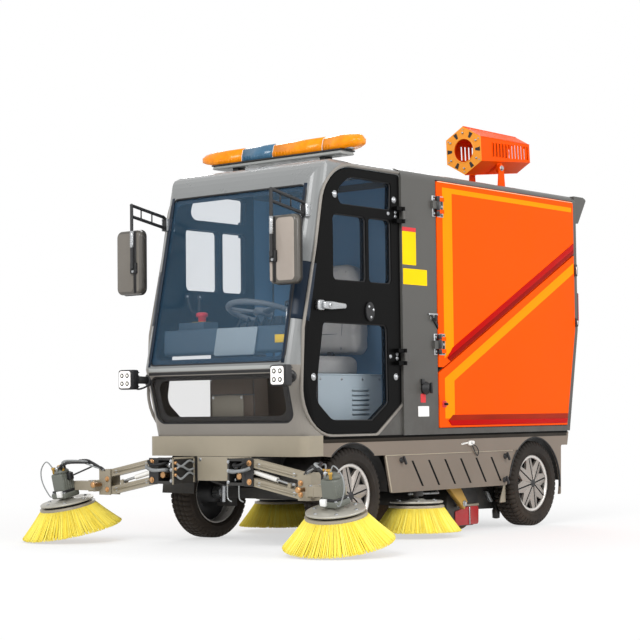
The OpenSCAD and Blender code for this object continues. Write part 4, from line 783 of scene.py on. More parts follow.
def tyre(name, m):
    """Section from bead to bead, with lugs cut across the tread: radius, offset, 1 on the lugs."""
    half = TYRE_W / 2
    section = [(RIM_R, 12 - half, 0), (RIM_R + 6, 4 - half, 0), (RIM_R + 14, 1 - half, 0),
               (RIM_R + 16, -0.8 - half, 0), (RIM_R + 19, -0.8 - half, 0), (RIM_R + 21, 1 - half, 0),
               (RIM_R + 40, -1.5 - half, 0), (RIM_R + 52, 1 - half, 0), (RIM_R + 54, 3 - half, 0),
               (TYRE_R - 20, 6 - half, 1), (TYRE_R - 8, 12 - half, 1), (TYRE_R - 1, 22 - half, 1)]
    grooves = []
    for x in (-34, -2, 30):
        grooves += [(TYRE_R, x, 1), (TYRE_R - 8, x + 1.2, 0), (TYRE_R - 8, x + 6, 0), (TYRE_R, x + 7.2, 1)]
    section = section + grooves + [(r, -x, lug) for r, x, lug in section[::-1]]
    points = []
    for i in range(PITCHES):
        for f, up in ((0.0, 0), (0.05, 1), (0.70, 1), (0.75, 0)):
            for r, x, lug in section:
                a = math.tau * (i + f) / PITCHES + LUG_SKEW * x * lug
                r -= LUG_DEPTH if lug and not up else 0
                points.append(m @ Vector((r * math.cos(a), r * math.sin(a), x)))
    piece = Piece()
    piece.add(points, skin(4 * PITCHES, len(section), True), 0, True)
    piece.done("tread_" + name, "tyre", name.replace("tyre", "wheel"), "tyre", (name,))


def wheel(name, m, side):
    """Rim, dark dish and a star cover with eight grooved spokes and open triangles between them. The rim is a
    paler copy of the wheel metal, a painted highlight; the dish and the grooves are darkened as painted
    shade.
    """
    piece = Piece()
    piece.lathe([(150, 40), (151, 49), (156, 53), (164, 54), (RIM_R + 1, 50), (RIM_R + 1, 44),
                 (RIM_R - 6, 36), (RIM_R - 9, -58), (RIM_R, -60), (RIM_R, -56)], m, 72, 3, True, False)
    piece.lathe([(162, 20), (120, 26), (58, 30), (56, -40), (20, -42)], m, 48, 1, True, False)
    points, cover, groove = [], [], []

    def at_polar(r, a, z):
        points.append(m @ Vector((r * math.cos(a), r * math.sin(a), z)))
        return len(points) - 1

    hub_r, spoke_r, apex_r = 20, 152, 98
    step = math.pi / 8
    inner, outer = 4.5 / hub_r, 4.5 / 151
    for k in range(8):
        a = 2 * step * k + 0.2
        floor_edges = []
        for w in (-1, 1):
            ridge_in = at_polar(hub_r, a + w * inner, 60)
            ridge_out = at_polar(spoke_r, a + w * outer, 52)
            edge, low_edge = [at_polar(spoke_r, a + w * (step - 0.235), z) for z in (48, 30)]
            apex, low_apex = [at_polar(apex_r, a + w * step, z) for z in (47, 30)]
            valley = at_polar(hub_r, a + w * step, 57)
            deep_in = at_polar(hub_r, a + w * inner * 0.7, 52)
            deep_out = at_polar(spoke_r, a + w * outer * 0.7, 44)
            cover += [(ridge_in, ridge_out, edge, apex), (ridge_in, apex, valley),
                      (edge, low_edge, low_apex, apex)]
            groove.append((ridge_in, deep_in, deep_out, ridge_out))
            floor_edges.append((deep_in, deep_out))
        (a0, a1), (b0, b1) = floor_edges
        groove.append((a0, a1, b1, b0))
    piece.add(points, cover, 0)
    piece.add(points, groove, 1)
    piece.lathe([(24, 46), (24, 58), (20, 61), (12, 63), (2, 63.5)], m, 32, 1, True, False)
    for x, y in circle(5, 80):
        piece.bolt(m @ Vector((x, y, 29)), (side, 0, 0), 9, 10, 2)
    piece.done("cover_" + name, "wheel wheel_dark steel wheel_lip", name, "wheel", (name,))


for name, side in SIDES:
    for end, s in (("front", 0), ("rear", WHEELBASE)):
        axle = facing((WHEEL_X * side, s, TYRE_R), (side, 0, 0))
        tyre("tyre_%s_%s" % (end, name), axle)
        wheel("wheel_%s_%s" % (end, name), axle, side)

# Brushes

BRISTLE_H, RING_R, FRONT_R, MID_R = 130, 150, 277, 248


def brush(name, m, tip_r):
    strands = Piece()
    top = BRISTLE_H + 3
    # root radius, tip radius, tip's height, number of strands
    layers = ((RING_R + 1, tip_r - 1.5, 0, 400), (RING_R - 8, tip_r - 12, 2, 360),
              (RING_R - 16, tip_r - 24, 4, 320))
    for root_r, end_r, lift, count in layers:
        for i in range(count):
            start = math.tau * (i + rng.uniform(-0.3, 0.3)) / count
            twist = rng.gauss(0, 0.010)
            spread = rng.gauss(0, 1.2)
            tone = rng.random()
            points = []
            for t in (0.0, 0.45, 0.85, 1.0):
                r = root_r + (end_r + min(0.0, spread) - root_r) * t
                z = top - (top - lift) * (t + 0.10 * t * (1 - t)) + abs(spread) * t
                x, y = math.cos(start + twist * t), math.sin(start + twist * t)
                c = Vector((r * x, r * y, z))
                across = Vector((-y, x, 0)) * (1.5 + 0.9 * t)
                out = Vector((x * 0.7, y * 0.7, 0.7)) * (1.5 + 0.9 * t)
                points += [m @ (c + across), m @ (c + out), m @ (c - across), m @ (c - out)]
                strands.strand += [tone] * 4
            strands.add(points, ends(4, 4) + skin(4, 4), 0, True)
    strands.done("strands_" + name, "bristle", name, "bristle", (name,))
    holder = Piece()
    # darker yellow cone under the strands: painted shade inside the tuft
    holder.lathe([(RING_R - 22, BRISTLE_H), (tip_r - 34, 8), (tip_r - 42, 8), (RING_R - 36, BRISTLE_H)], m,
                 64, 0, True, False)
    on_top = m @ move((0, 0, BRISTLE_H))
    holder.lathe([(RING_R - 30, -6), (RING_R + 3, -6), (RING_R + 4, -3), (RING_R + 4, 12), (RING_R + 2, 14),
                  (RING_R - 26, 14)], on_top, 64, 1)
    holder.lathe([(RING_R - 24, 12), (RING_R - 24, 27)], on_top, 48, 2)
    holder.lathe([(RING_R - 4, 26), (RING_R - 2, 28), (RING_R - 2, 34), (RING_R - 6, 37), (60, 38), (42, 46),
                  (40, 48)], on_top, 64, 3)
    for x, y in circle(6, 115, 0.2):
        holder.bolt(on_top @ Vector((x, y, 37.2)), m.to_3x3() @ Vector(UP), 8, 6, 4)
    holder.done("holder_" + name, "bristle_shade trim_grey rubber disc_grey steel", name, "bristle")


def brush_frame(side):
    lean = turn(math.radians(3) * side, "Y") @ turn(math.radians(11.5), "X")
    return move((952 * side, -607, 63.05)) @ lean


for name, side in SIDES:
    brush("front_brush_" + name, brush_frame(side), FRONT_R)
    brush("mid_brush_" + name, move((500 * side, 629.28, 32)), MID_R)

# Light bar

LIGHT_S, LIGHT_HALF = 94, 568
BLUE_FROM, BLUE_TO = -240, -13
TAPER = ((0, 0.62), (10, 0.74), (50, 0.90), (105, 1.0))
light_bar = Piece()


def lens_section(x, squeeze):
    """Cross section of the lens at x: a low body with a ridge along the top, drawn in towards the ends."""
    half, top = 62 * squeeze, 2106 + 84 * (0.55 + 0.45 * squeeze)
    low = 2108 + 85 * (1 - squeeze)
    right = [(half, low), (half, low + 28 * squeeze), (half * 0.82, top - 18), (half * 0.42, top - 4),
             (half * 0.12, top)]
    return [(x, LIGHT_S - ds, z) for ds, z in right] + [(x, LIGHT_S + ds, z) for ds, z in right[::-1]]


def lens(stations, mat, smooth=True):
    rows = [lens_section(x, k) for x, k in stations]
    n = len(rows[0])
    light_bar.add(sum(rows, []), ends(len(rows), n) + skin(len(rows), n), mat, smooth)


lens([(-LIGHT_HALF + d, k) for d, k in TAPER] + [(-243, 1.0)], 0)
lens([(BLUE_FROM, 1.0), (BLUE_TO, 1.0)], 1)
lens([(-10, 1.0), (342, 1.0)], 0)
lens([(348, 1.0)] + [(LIGHT_HALF - d, k) for d, k in TAPER[::-1]], 0)
for x in (-241.5, -11.5, 345):
    lens([(x - 1.6, 1.005), (x + 1.6, 1.005)], 2, False)
# ribs pressed into the long faces
for x in range(-452, 460, 22):
    for sgn in (-1, 1):
        light_bar.box((x - 2, LIGHT_S + sgn * 60.5, 2112), (x + 2, LIGHT_S + sgn * 63, 2134),
                      1 if BLUE_FROM < x < BLUE_TO else 0, 1, 1)
light_bar.done("light_bar_lenses", "amber lens_blue white", "chassis", "lens", ("light_bar_lens",))
base = Piece()
base.box((-468, LIGHT_S - 57, 2080), (468, LIGHT_S + 57, 2098), 0, 3)
base.box((-474, LIGHT_S - 64, 2098), (474, LIGHT_S + 64, 2107), 1, 3)
for sgn in (-1, 1):
    s = LIGHT_S + sgn * 57
    base.box((-470, s - 2, 2083), (470, s + 2, 2088), 0, 1, 1)
    x = 320 * sgn
    base.box((x - 36, LIGHT_S - 44, 2032), (x + 36, LIGHT_S + 44, 2040), 1, 3)
    base.box((x - 20, LIGHT_S - 34, 2038), (x + 20, LIGHT_S + 34, 2082), 1, 6, 3)
    for ds in (-37, 37):
        base.bolt((x - 26, LIGHT_S + ds, 2040), UP, 6, 5)
        base.bolt((x + 26, LIGHT_S + ds, 2040), UP, 6, 5)
base.done("light_bar_mount", "ledge black_plastic", "chassis", "steel", ("light_bar_base",))
beacons = Piece()
for x in (-470, -400, -330, -160, -90, 60, 130, 200, 270, 410, 480):
    beacons.lathe([(28, 0), (28, 20), (20, 45), (4, 50)], move((x, LIGHT_S, 2107)), 20)
beacons.done("light_bar_reflectors", "steel", "chassis", "steel")

# Mist cannon: face plate, nozzles, louvre lips

CANNON_X, SIXTH = 243, math.pi / 3
BARREL = move((CANNON_X, 1505, 2275)) @ turn(math.radians(3.2) - math.pi / 2, "X")
FACE_R, MOUTH_R, FACE_N = 147.5, 70.5, 72
gun = Piece()
# flat face ring with a round mouth
face_rows = []
for z in (-1.5, 0.5):
    rim, mouth = [], []
    for i in range(FACE_N):
        a = math.tau * i / FACE_N
        edge = FACE_R * math.cos(SIXTH / 2) / math.cos(a % SIXTH - SIXTH / 2)
        rim.append(BARREL @ Vector((edge * math.sin(a), edge * math.cos(a), z)))
        mouth.append(BARREL @ Vector((MOUTH_R * math.sin(a), MOUTH_R * math.cos(a), z)))
    face_rows += [rim, mouth] if z < 0 else [mouth, rim]
gun.add(sum(face_rows, []), skin(4, FACE_N, True), 0)
gun.lathe([(70, -2), (74, -4), (77, -2)], BARREL, 48, 0, True, False)
for k in range(6):
    slot = BARREL @ turn(-SIXTH * (k + 0.5), "Z") @ move((0, 0, -3.2))
    gun.prism([(-7, 86), (7, 86), (13, 120), (-13, 120)], slot, 2, 1)
    gun.lathe([(6, 0), (6, -10), (3, -12)], BARREL @ turn(-SIXTH * (k + 1), "Z") @ move((0, 108, 0)), 12, 2)
# folded edges along the corners, lips over the louvres
for k in range(6):
    corner_dir = Vector((math.sin(SIXTH * k), math.cos(SIXTH * k), 0))
    fold = [corner_dir * r + Vector((0, 0, z)) for r, z in ((148.5, 2), (113.5, 578))]
    gun.tube([BARREL @ p for p in fold], 2.2, 8, 3)
for i in range(12):
    z = 143.5 + 37 * i
    half = (148 - 35 * z / 580) * math.cos(SIXTH / 2)
    for sgn in (-1, 1):
        gun.block((6, 88, 3), BARREL @ move((sgn * (half + 1), 0, z - 10.5)) @ turn(0.5 * sgn, "Y"), 3, 1, 1)
# fan
gun.lathe([(60, 300), (60, 400), (50, 420), (10, 425)], BARREL, 32, 1)
for k in range(7):
    blade = turn(math.tau * k / 7, "Z") @ move((0, 45, 340)) @ turn(0.6, "Y")
    gun.block((4, 68, 50), BARREL @ blade, 1, 1, 1)
for k in range(6):
    at = BARREL @ Vector((128 * math.sin(SIXTH * k), 128 * math.cos(SIXTH * k), -1.5))
    gun.bolt(at, BARREL.to_3x3() @ Vector(DOWN), 4.5, 4, 2, False)
gun.done("cannon_face", "cannon_yellow wheel_dark steel orange", "mist_cannon", "orange")
pivot = Piece()
for sgn in (-1, 1):
    pivot.bolt((CANNON_X + sgn * 112, 1745, 2180), (sgn, 0, 0), 13, 10)
    for s in (1700, 1790):
        pivot.bolt((CANNON_X + sgn * 118, s, 2042), UP, 8, 7)
pivot.done("cannon_pivots", "steel", "chassis", "steel")

# Mirrors and lamps

ROD_X, MIRROR_X = 505, 557
for name, side in SIDES:
    head = Piece(side)
    shell = rect(-94, -175, 94, 175, 36)
    m = move((MIRROR_X, -505, 1522)) @ turn(math.pi / 2, "X")
    head.prism(shell, m, 45, 4, 16, 5, 8)
    # raised panels on both sides of the groove for the rod
    for x0, x1, r in ((-82, -66, 6), (-38, 80, 22)):
        head.prism(rect(x0, -160, x1, 160, r), m @ move((0, 0, 43.5)), 4, 0, 3, 2, 6)
    head.box(m @ Vector((-61, -168, 44.5)), m @ Vector((-43, 168, 45.5)), 2, 0)
    head.prism(rect(-86, -167, 86, 167, 30), m @ turn(math.pi, "Y"), 1.5, 1, arcs=8)
    head.tube([m @ Vector((*p, 0)) for p in rounded(shell, 8)], 4, 8, 2, closed=True)
    # clamp that holds the head on the rod
    clamp = m @ move((ROD_X - MIRROR_X, -34, 52))
    head.block((44, 60, 22), clamp, 2, 5, 3)
    for dy in (-18, 18):
        head.bolt(clamp @ Vector((0, dy, 11)), AHEAD, 6, 4, 3)
    # the mirror backs share one finish, paler on the near mirror and darker on the far one: painted light and
    # shade
    back = "mirror_shell_lit" if side > 0 else "mirror_shell_shaded"
    head.done("mirror_" + name, back + " mirror_glass rubber steel mirror_rim", "chassis", "body_grey",
              ("mirror_heads",) if side > 0 else ())
    lamp = Piece(side)
    m = move((549, -588, 883)) @ turn(math.pi / 2, "X")
    lamp.box(m @ Vector((-52, -54, -6)), m @ Vector((52, 54, -58)), 0, 10, 4)
    lamp.prism(rect(-50, -52, 50, 52, 12), m @ move((0, 0, -8)), 8, 0, 4, 3)
    lamp.prism(rect(-43, -46, 43, 46, 14), m @ move((0, 0, -1)), 3, 1, 1, 2)
    for x in (-20.01, 20.01):
        for y in (-21.6, 21.6):
            at = m @ Vector((x, y, 1.8))
            lamp.lathe([(13.5, 0), (12.5, 2), (7.5, 2.2)], facing(at, AHEAD), 20, 0, True, False)
            lamp.dome(at, AHEAD, 7.8, 4, 2, 16)
    for y in range(-40, 37, 19):
        lamp.box(m @ Vector((-46, y, -56)), m @ Vector((46, y + 6, -66)), 0, 1, 1)
    lamp.tube([(545, -532, 883), (528, -484, 882), (505, -425, 880)], 21, 16)
    lamp.lathe([(34, 0), (34, 8), (28, 12)], facing((512, -443, 880), (0.35, -1, 0)))
    lamp.hose([(549, -526, 850), (540, -500, 832), (515, -470, 842), (500, -440, 862)], 6, 5)
    lamp.done("lamp_" + name, "black_plastic lamp_face led", "chassis", "black_plastic",
              ("work_lamps",) if side > 0 else ())
    # bracket of the mirror arm: clamp halves, ties between the two tubes
    arm = Piece(side)
    for x in (ROD_X - 19, ROD_X + 19):
        arm.box((x - 2, -322, 1708), (x + 2, -262, 1776), 1, 3)
    for z in (1722, 1762):
        arm.bolt((526, -308, z), OUT, 7, 5, 1)
    for s, z0, z1 in ((-418, 1744, 1800), (-500, 1758, 1816)):
        arm.tube([(ROD_X, s, z0), (ROD_X, s, z1)], 4)
    arm.hose([(ROD_X, -572, 1690), (ROD_X, -572, 1640), (ROD_X, -572, 1600)], 2, 10.5, 12, 1)
    arm.done("mirror_ties_" + name, "black_plastic steel", "chassis", "frame_black")

# Seat: two cushions blown up from their blanks, with piping and seams

# mesh size and greatest swelling in metres, last frame of the simulation
VOXEL, SWELL_MOST, LAST_FRAME = 0.009, 0.012, 16


def apply_all(obj):
    depsgraph = bpy.context.evaluated_depsgraph_get()
    mesh = bpy.data.meshes.new_from_object(obj.evaluated_get(depsgraph))
    obj.modifiers.clear()
    old = obj.data
    obj.data = mesh
    bpy.data.meshes.remove(old)


def cushion(name, outline, matrix, depth, edge):
    """Blank of the cushion, meshed evenly and swollen by pressure inside the cover."""
    blank = Piece()
    blank.prism(outline, matrix, depth, 0, edge, 4, 6)
    obj = blank.done(name, "seat", "chassis", "seat", ("seat_pads",) if name == "seat_cushion" else ())
    remesh = obj.modifiers.new("even", "REMESH")
    remesh.mode = "VOXEL"
    remesh.voxel_size = VOXEL
    apply_all(obj)
    rest = np.array([v.co for v in obj.data.vertices], np.float32)
    cloth = obj.modifiers.new("cover", "CLOTH")
    cloth.settings.effector_weights.gravity = 0.0
    cloth.settings.use_pressure = True
    cloth.settings.uniform_pressure_force = 4.0
    cloth.settings.quality = 4
    cloth.collision_settings.use_collision = False
    cloth.point_cache.frame_start, cloth.point_cache.frame_end = 1, LAST_FRAME
    scene = bpy.context.scene
    for f in range(1, LAST_FRAME + 1):
        scene.frame_set(f)
    shape = np.empty(len(obj.data.vertices) * 3, np.float32)
    depsgraph = bpy.context.evaluated_depsgraph_get()
    obj.evaluated_get(depsgraph).data.vertices.foreach_get("co", shape)
    moved = shape.reshape(-1, 3) - rest
    length = np.linalg.norm(moved, axis=1, keepdims=True)
    moved *= np.minimum(1.0, SWELL_MOST / np.maximum(length, 1e-6))
    obj.modifiers.remove(cloth)
    obj.data.vertices.foreach_set("co", (rest + moved).ravel())
    scene.frame_set(1)
    for p in obj.data.polygons:
        p.use_smooth = True


# seat back: x across, y up along the back, z forwards
BACK = move((0, 505, 1002)) @ turn(math.pi / 2 - math.radians(7), "X")
cushion("seat_cushion", [(-292, -58, 70), (292, -58, 70), (292, 425, 45), (-292, 425, 45)],
        move((0, 0, 905)), 86, 30)
cushion("seat_back", [(-276, 0, 50), (276, 0, 50), (262, 380, 70), (180, 535, 90), (-180, 535, 90),
                      (-262, 380, 70)], BACK, 90, 32)
trim = Piece()
for x in (-150, 150):
    trim.hose([(x, -40, 992), (x, 100, 998), (x, 300, 998), (x, 410, 994)], 6, 2.8)
    trim.hose([BACK @ Vector((x, y, z)) for y, z in ((30, 97), (200, 101), (480, 98))], 6, 2.8)
for s in (80, 190, 300):
    trim.hose([(-150, s, 998), (0, s, 999), (150, s, 998)], 4, 2.4)
for y in (120, 240, 360):
    trim.hose([BACK @ Vector((x, y, z)) for x, z in ((-150, 99), (0, 102), (150, 99))], 4, 2.4)
for x in (-60, 60):
    trim.box((x - 22, 426, 915), (x + 22, 446, 1040), 1, 4)
trim.done("seat_trim", "seam black_plastic", "chassis", "seat")

# Seat box: lid edge, screws, louvres, front panel
lid = Piece()
lid.box((-394, -84, 892), (394, 474, 901), 0, 3)
for s in (-60, 120, 300, 450):
    for sgn in (-1, 1):
        lid.bolt((sgn * 390, s, 872), (sgn, 0, 0), 6, 4, 1)
for i in range(6):
    lid.block((5, 150, 10), move((392, 281, 685 + 26 * i)) @ turn(0.6, "Y"), 0, 1, 1)
# dark brown front panel of the seat box: painted shade
lid.prism(rect(-392, 596, 392, 890), on_front(-80), 4, 2, 2)
for x in (-380, -130, 130, 380):
    lid.bolt((x, -84, 880), AHEAD, 6, 4, 1)
lid.done("seat_box_trim", "seat_base steel panel_brown", "chassis", "seat_base")

# Covers on the front and the sides of the column's pedestal; the dark brown ones are painted shade
LEAN = move((0, -315, 585)) @ turn(math.pi / 2 + math.atan2(15, 495), "X")
covers = Piece()
covers.prism(rect(-149, 10, 78, 206), LEAN, 6, 0, 3)
covers.prism(rect(82, 10, 149, 206), LEAN, 6, 1, 3)
covers.prism(rect(-149, 210, 149, 424), LEAN, 6, 1, 3)
for x in (-138, 67):
    for y in (22, 194):
        covers.bolt(LEAN @ Vector((x, y, 6)), AHEAD, 6, 4, 2)
for sgn in (-1, 1):
    flank = Matrix.Diagonal((sgn, 1, 1, 1)) @ on_side(150)
    covers.prism([(-313, 596), (-204, 596), (-222, 1004), (-326, 1004)], flank, 3, 1, 1)
covers.done("pedestal_covers", "panel_olive panel_brown steel", "chassis", "dash")

# Lining on the cab's rear wall, the roof, the floor and the rear corners
# the lining glows faintly: painted light inside the cab
lining = Piece()
lining.box((-520, 611, 600), (520, 618, 1960))
lining.box((-500, -150, 1996), (500, 600, 2000))
lining.box((-480, -300, 586), (480, 600, 592), 1)
for sgn in (-1, 1):
    lining.box((539 * sgn, 446, 600), (534 * sgn, 612, 1950))
lining.done("cab_lining", "lining black_plastic", "chassis", "dash")

# Dashboard: gauges, switch row, stop button, cover, relays, levers
dash = Piece()
for x in (-120, 0, 120):
    m = facing((x, -163, 1122), (0, 1, 0.35))
    dash.lathe([(36, 0), (38, 6), (34, 10), (31, 8)], m, 28, 0, True, False)
    dash.lathe([(31, 4), (1, 4.5)], m, 28, 2)
for i in range(7):
    m = facing((180 + 32 * i, -164, 1116), (0, 1, 0.3))
    dash.block((20, 32, 12), m, 0, 3)
    dash.block((12, 6, 3), m @ move((0, 8, 6.5)), 3 if i % 3 == 0 else 2, 1, 1)
dash.lathe([(20, -30), (22, -4), (31, 0), (34, 8), (32, 18), (22, 23), (2, 24)],
           move((-300, -240, 1226)), 32, 3)
dash.block((80, 80, 5), move((-300, -240, 1194)), 4)
dash.box((-418, -298, 1191), (-232, -187, 1194), 0, 1)
dash.prism([(-45, 1146, 8), (245, 1146, 8), (215, 1000, 12), (-75, 1000, 12)], on_front(-385), 8, 5, 4, 3)
dash.box((362, -391, 1058), (428, -388, 1100), 4, 1, 1)
# relays under the wheel: x, s, z, width, height
for x, s, z, w, h in ((-40, -170, 1150, 46, 30), (20, -175, 1152, 52, 42), (82, -168, 1150, 44, 34),
                      (135, -172, 1150, 40, 46), (190, -205, 1150, 54, 40), (250, -215, 1150, 48, 56)):
    dash.box((x - w / 2, s - 22, z - 2), (x + w / 2, s + 22, z + h), 0, 4)
    dash.block((w / 1.6, 20, 4), move((x, s, z + h + 1)), 1, 1, 1)
for x in range(-40, 193, 58):
    dash.hose([(x, -188, 1180), (x + 14, -225, 1206), (x + 40, -262, 1190), (x + 52, -300, 1152)], 8, 5)
for x, h in ((300, 120), (350, 100)):
    dash.tube([(x, -230, 1145), (x, -215, 1145 + h)], 6, 10, 2)
    dash.lathe([(4, -18), (15, -12), (18, 0), (14, 14), (3, 18)], move((x, -213, 1150 + h)), 20)
dash.hose([(40, -100, 1165), (110, -95, 1185), (165, -85, 1195)], 6, 5)
dash.done("dash_fittings", "black_plastic dash steel tag_red plate_yellow dash_pale", "chassis", "dash")

# Steering wheel
GRIP_R = 195
TURN = move((0, -70, 1240)) @ turn(math.radians(-16), "X")
steer = Piece()
steer.tube([TURN @ Vector((*p, 0)) for p in circle(64, GRIP_R)], 15.5, 14, closed=True)
SPOKE = [(32, -22, 6), (110, -15, 4), (185, -17, 4), (185, 17, 4), (110, 15, 4), (32, 22, 6)]
for i in range(3):
    steer.prism(SPOKE, TURN @ turn(math.pi / 2 + math.tau * i / 3, "Z") @ move((0, 0, -10)), 18, 0, 6, 3)
steer.lathe([(30, -22), (50, -18), (56, 4), (48, 18), (30, 22), (2, 23)], TURN, 36)
steer.lathe([(22, 21), (22, 25), (18, 27), (2, 27)], TURN, 28, 1)
for p in circle(24, GRIP_R):
    steer.dome(TURN @ Vector((*p, -14)), TURN.to_3x3() @ Vector(DOWN), 6, 4, 0, 10)
steer.done("steering_wheel_rim", "grip steel", "steering_wheel", "frame_black", ("steering_wheel",))

# Pull straps on the inner faces of the doors
for name, side in SIDES:
    strap = Piece(side)
    strap.hose([(508, -140, 1352), (500, -132, 1300), (498, -118, 1268), (498, -70, 1262), (500, -52, 1296),
                (508, -44, 1350)], 8, 8, 10)
    for s in (-142, -42):
        strap.box((515, s - 16, 1338), (504, s + 16, 1366), 0, 3)
        strap.bolt((504, s, 1352), (-1, 0, 0), 6, 4, 1)
    strap.done("door_strap_" + name, "rubber steel", "cab_door_" + name, "black_plastic")

# Windscreen rubbers and printed borders, ledge between the panes

SCREEN = move((0, -472, 940)) @ turn(math.radians(-12), "X")
NOSE = move((0, -472, 940)) @ turn(math.radians(14.5), "X")
PANE_X, PANE_INNER = 490, 16.5
front_trim = Piece()
# pane, lower and upper edge, corner radius, side border, material of the border
for m, z0, z1, r, border, mat in ((SCREEN, 16, 965, 45, 28, 1), (NOSE, -308, -46, 55, 46, 0)):
    outer = rounded(rect(-PANE_X, z0, PANE_X, z1, r), 8)
    inner = rounded(rect(border - PANE_X, z0 + 34, PANE_X - border, z1 - 28, r), 8)
    front_trim.tube([m @ Vector((x, 5, z)) for x, z in outer], 6, closed=True)
    front_trim.add([m @ Vector((x, PANE_INNER, z)) for x, z in outer + inner], skin(2, len(outer)), mat)
front_trim.box((-466, -491, 921), (466, -484, 941), 2, 3)
front_trim.box((-466, -489, 903), (466, -484, 918), 0)
front_trim.done("windscreen_trim", "rubber navy ledge", "chassis", "black_plastic")

# Dark films on the rounded front corners of the upper cab
CORNER_X, CORNER_R = 471, 85


def corner_film(piece, z0, z1, start, end, off, rows, cols):
    """Thin skin on the rounded corner between two heights along the screen and two angles."""
    points = []
    for r in (CORNER_R + off, CORNER_R - 0.5):
        for i in range(rows + 1):
            for k in range(cols + 1):
                a = math.radians(start + (end - start) * k / cols)
                z = z0 + (z1 - z0) * i / rows
                points.append(SCREEN @ Vector((CORNER_X + r * math.cos(a), CORNER_R - r * math.sin(a), z)))
    size, w = (rows + 1) * (cols + 1), cols + 1
    faces = []
    for a in [i * w + k for i in range(rows) for k in range(cols)]:
        faces += [(a, a + 1, a + w + 1, a + w), (size + a, size + a + w, size + a + w + 1, size + a + 1)]
    rim = list(range(cols)) + [i * w + cols for i in range(rows)]
    rim += [rows * w + k for k in range(cols, 0, -1)] + [i * w for i in range(rows, 0, -1)]
    faces += [(a, b, size + b, size + a) for a, b in zip(rim, rim[1:] + rim[:1])]
    piece.add(points, faces, 0, True)


for name, side in SIDES:
    patch = Piece(side)
    corner_film(patch, 245, 552, 3, 84, 1.6, 12, 12)
    corner_film(patch, 10, 972, 76, 90, 1.0, 20, 3)
    patch.done("pillar_film_" + name, "navy", "chassis", "glass")

# Bead round the front and lower edges of the door openings
BEAD = rounded([(431, 2004), (-198, 2004, 256), (-284, 1560, 316), (-388, 1130), (-420, 570, 250),
                (211, 570, 64), (447, 736)], 10)
for name, side in SIDES:
    bead = Piece(side)
    bead.tube([(554, *p) for p in BEAD], 8.5, 10)
    bead.done("door_bead_" + name, "nose_grey", "chassis", "body_grey")

# Brush heads, arms, hoses

LINK_X, LINK_Z, LINK_DX, LINK_DZ, LINK_GAP = 350, 440, 343.9, -65, 95
NIPPLE = [(8, 0), (8, 22), (11, 24), (11, 34)]
HEAD = brush_frame(1)


def local(*points):
    return [HEAD @ Vector(p) for p in points]


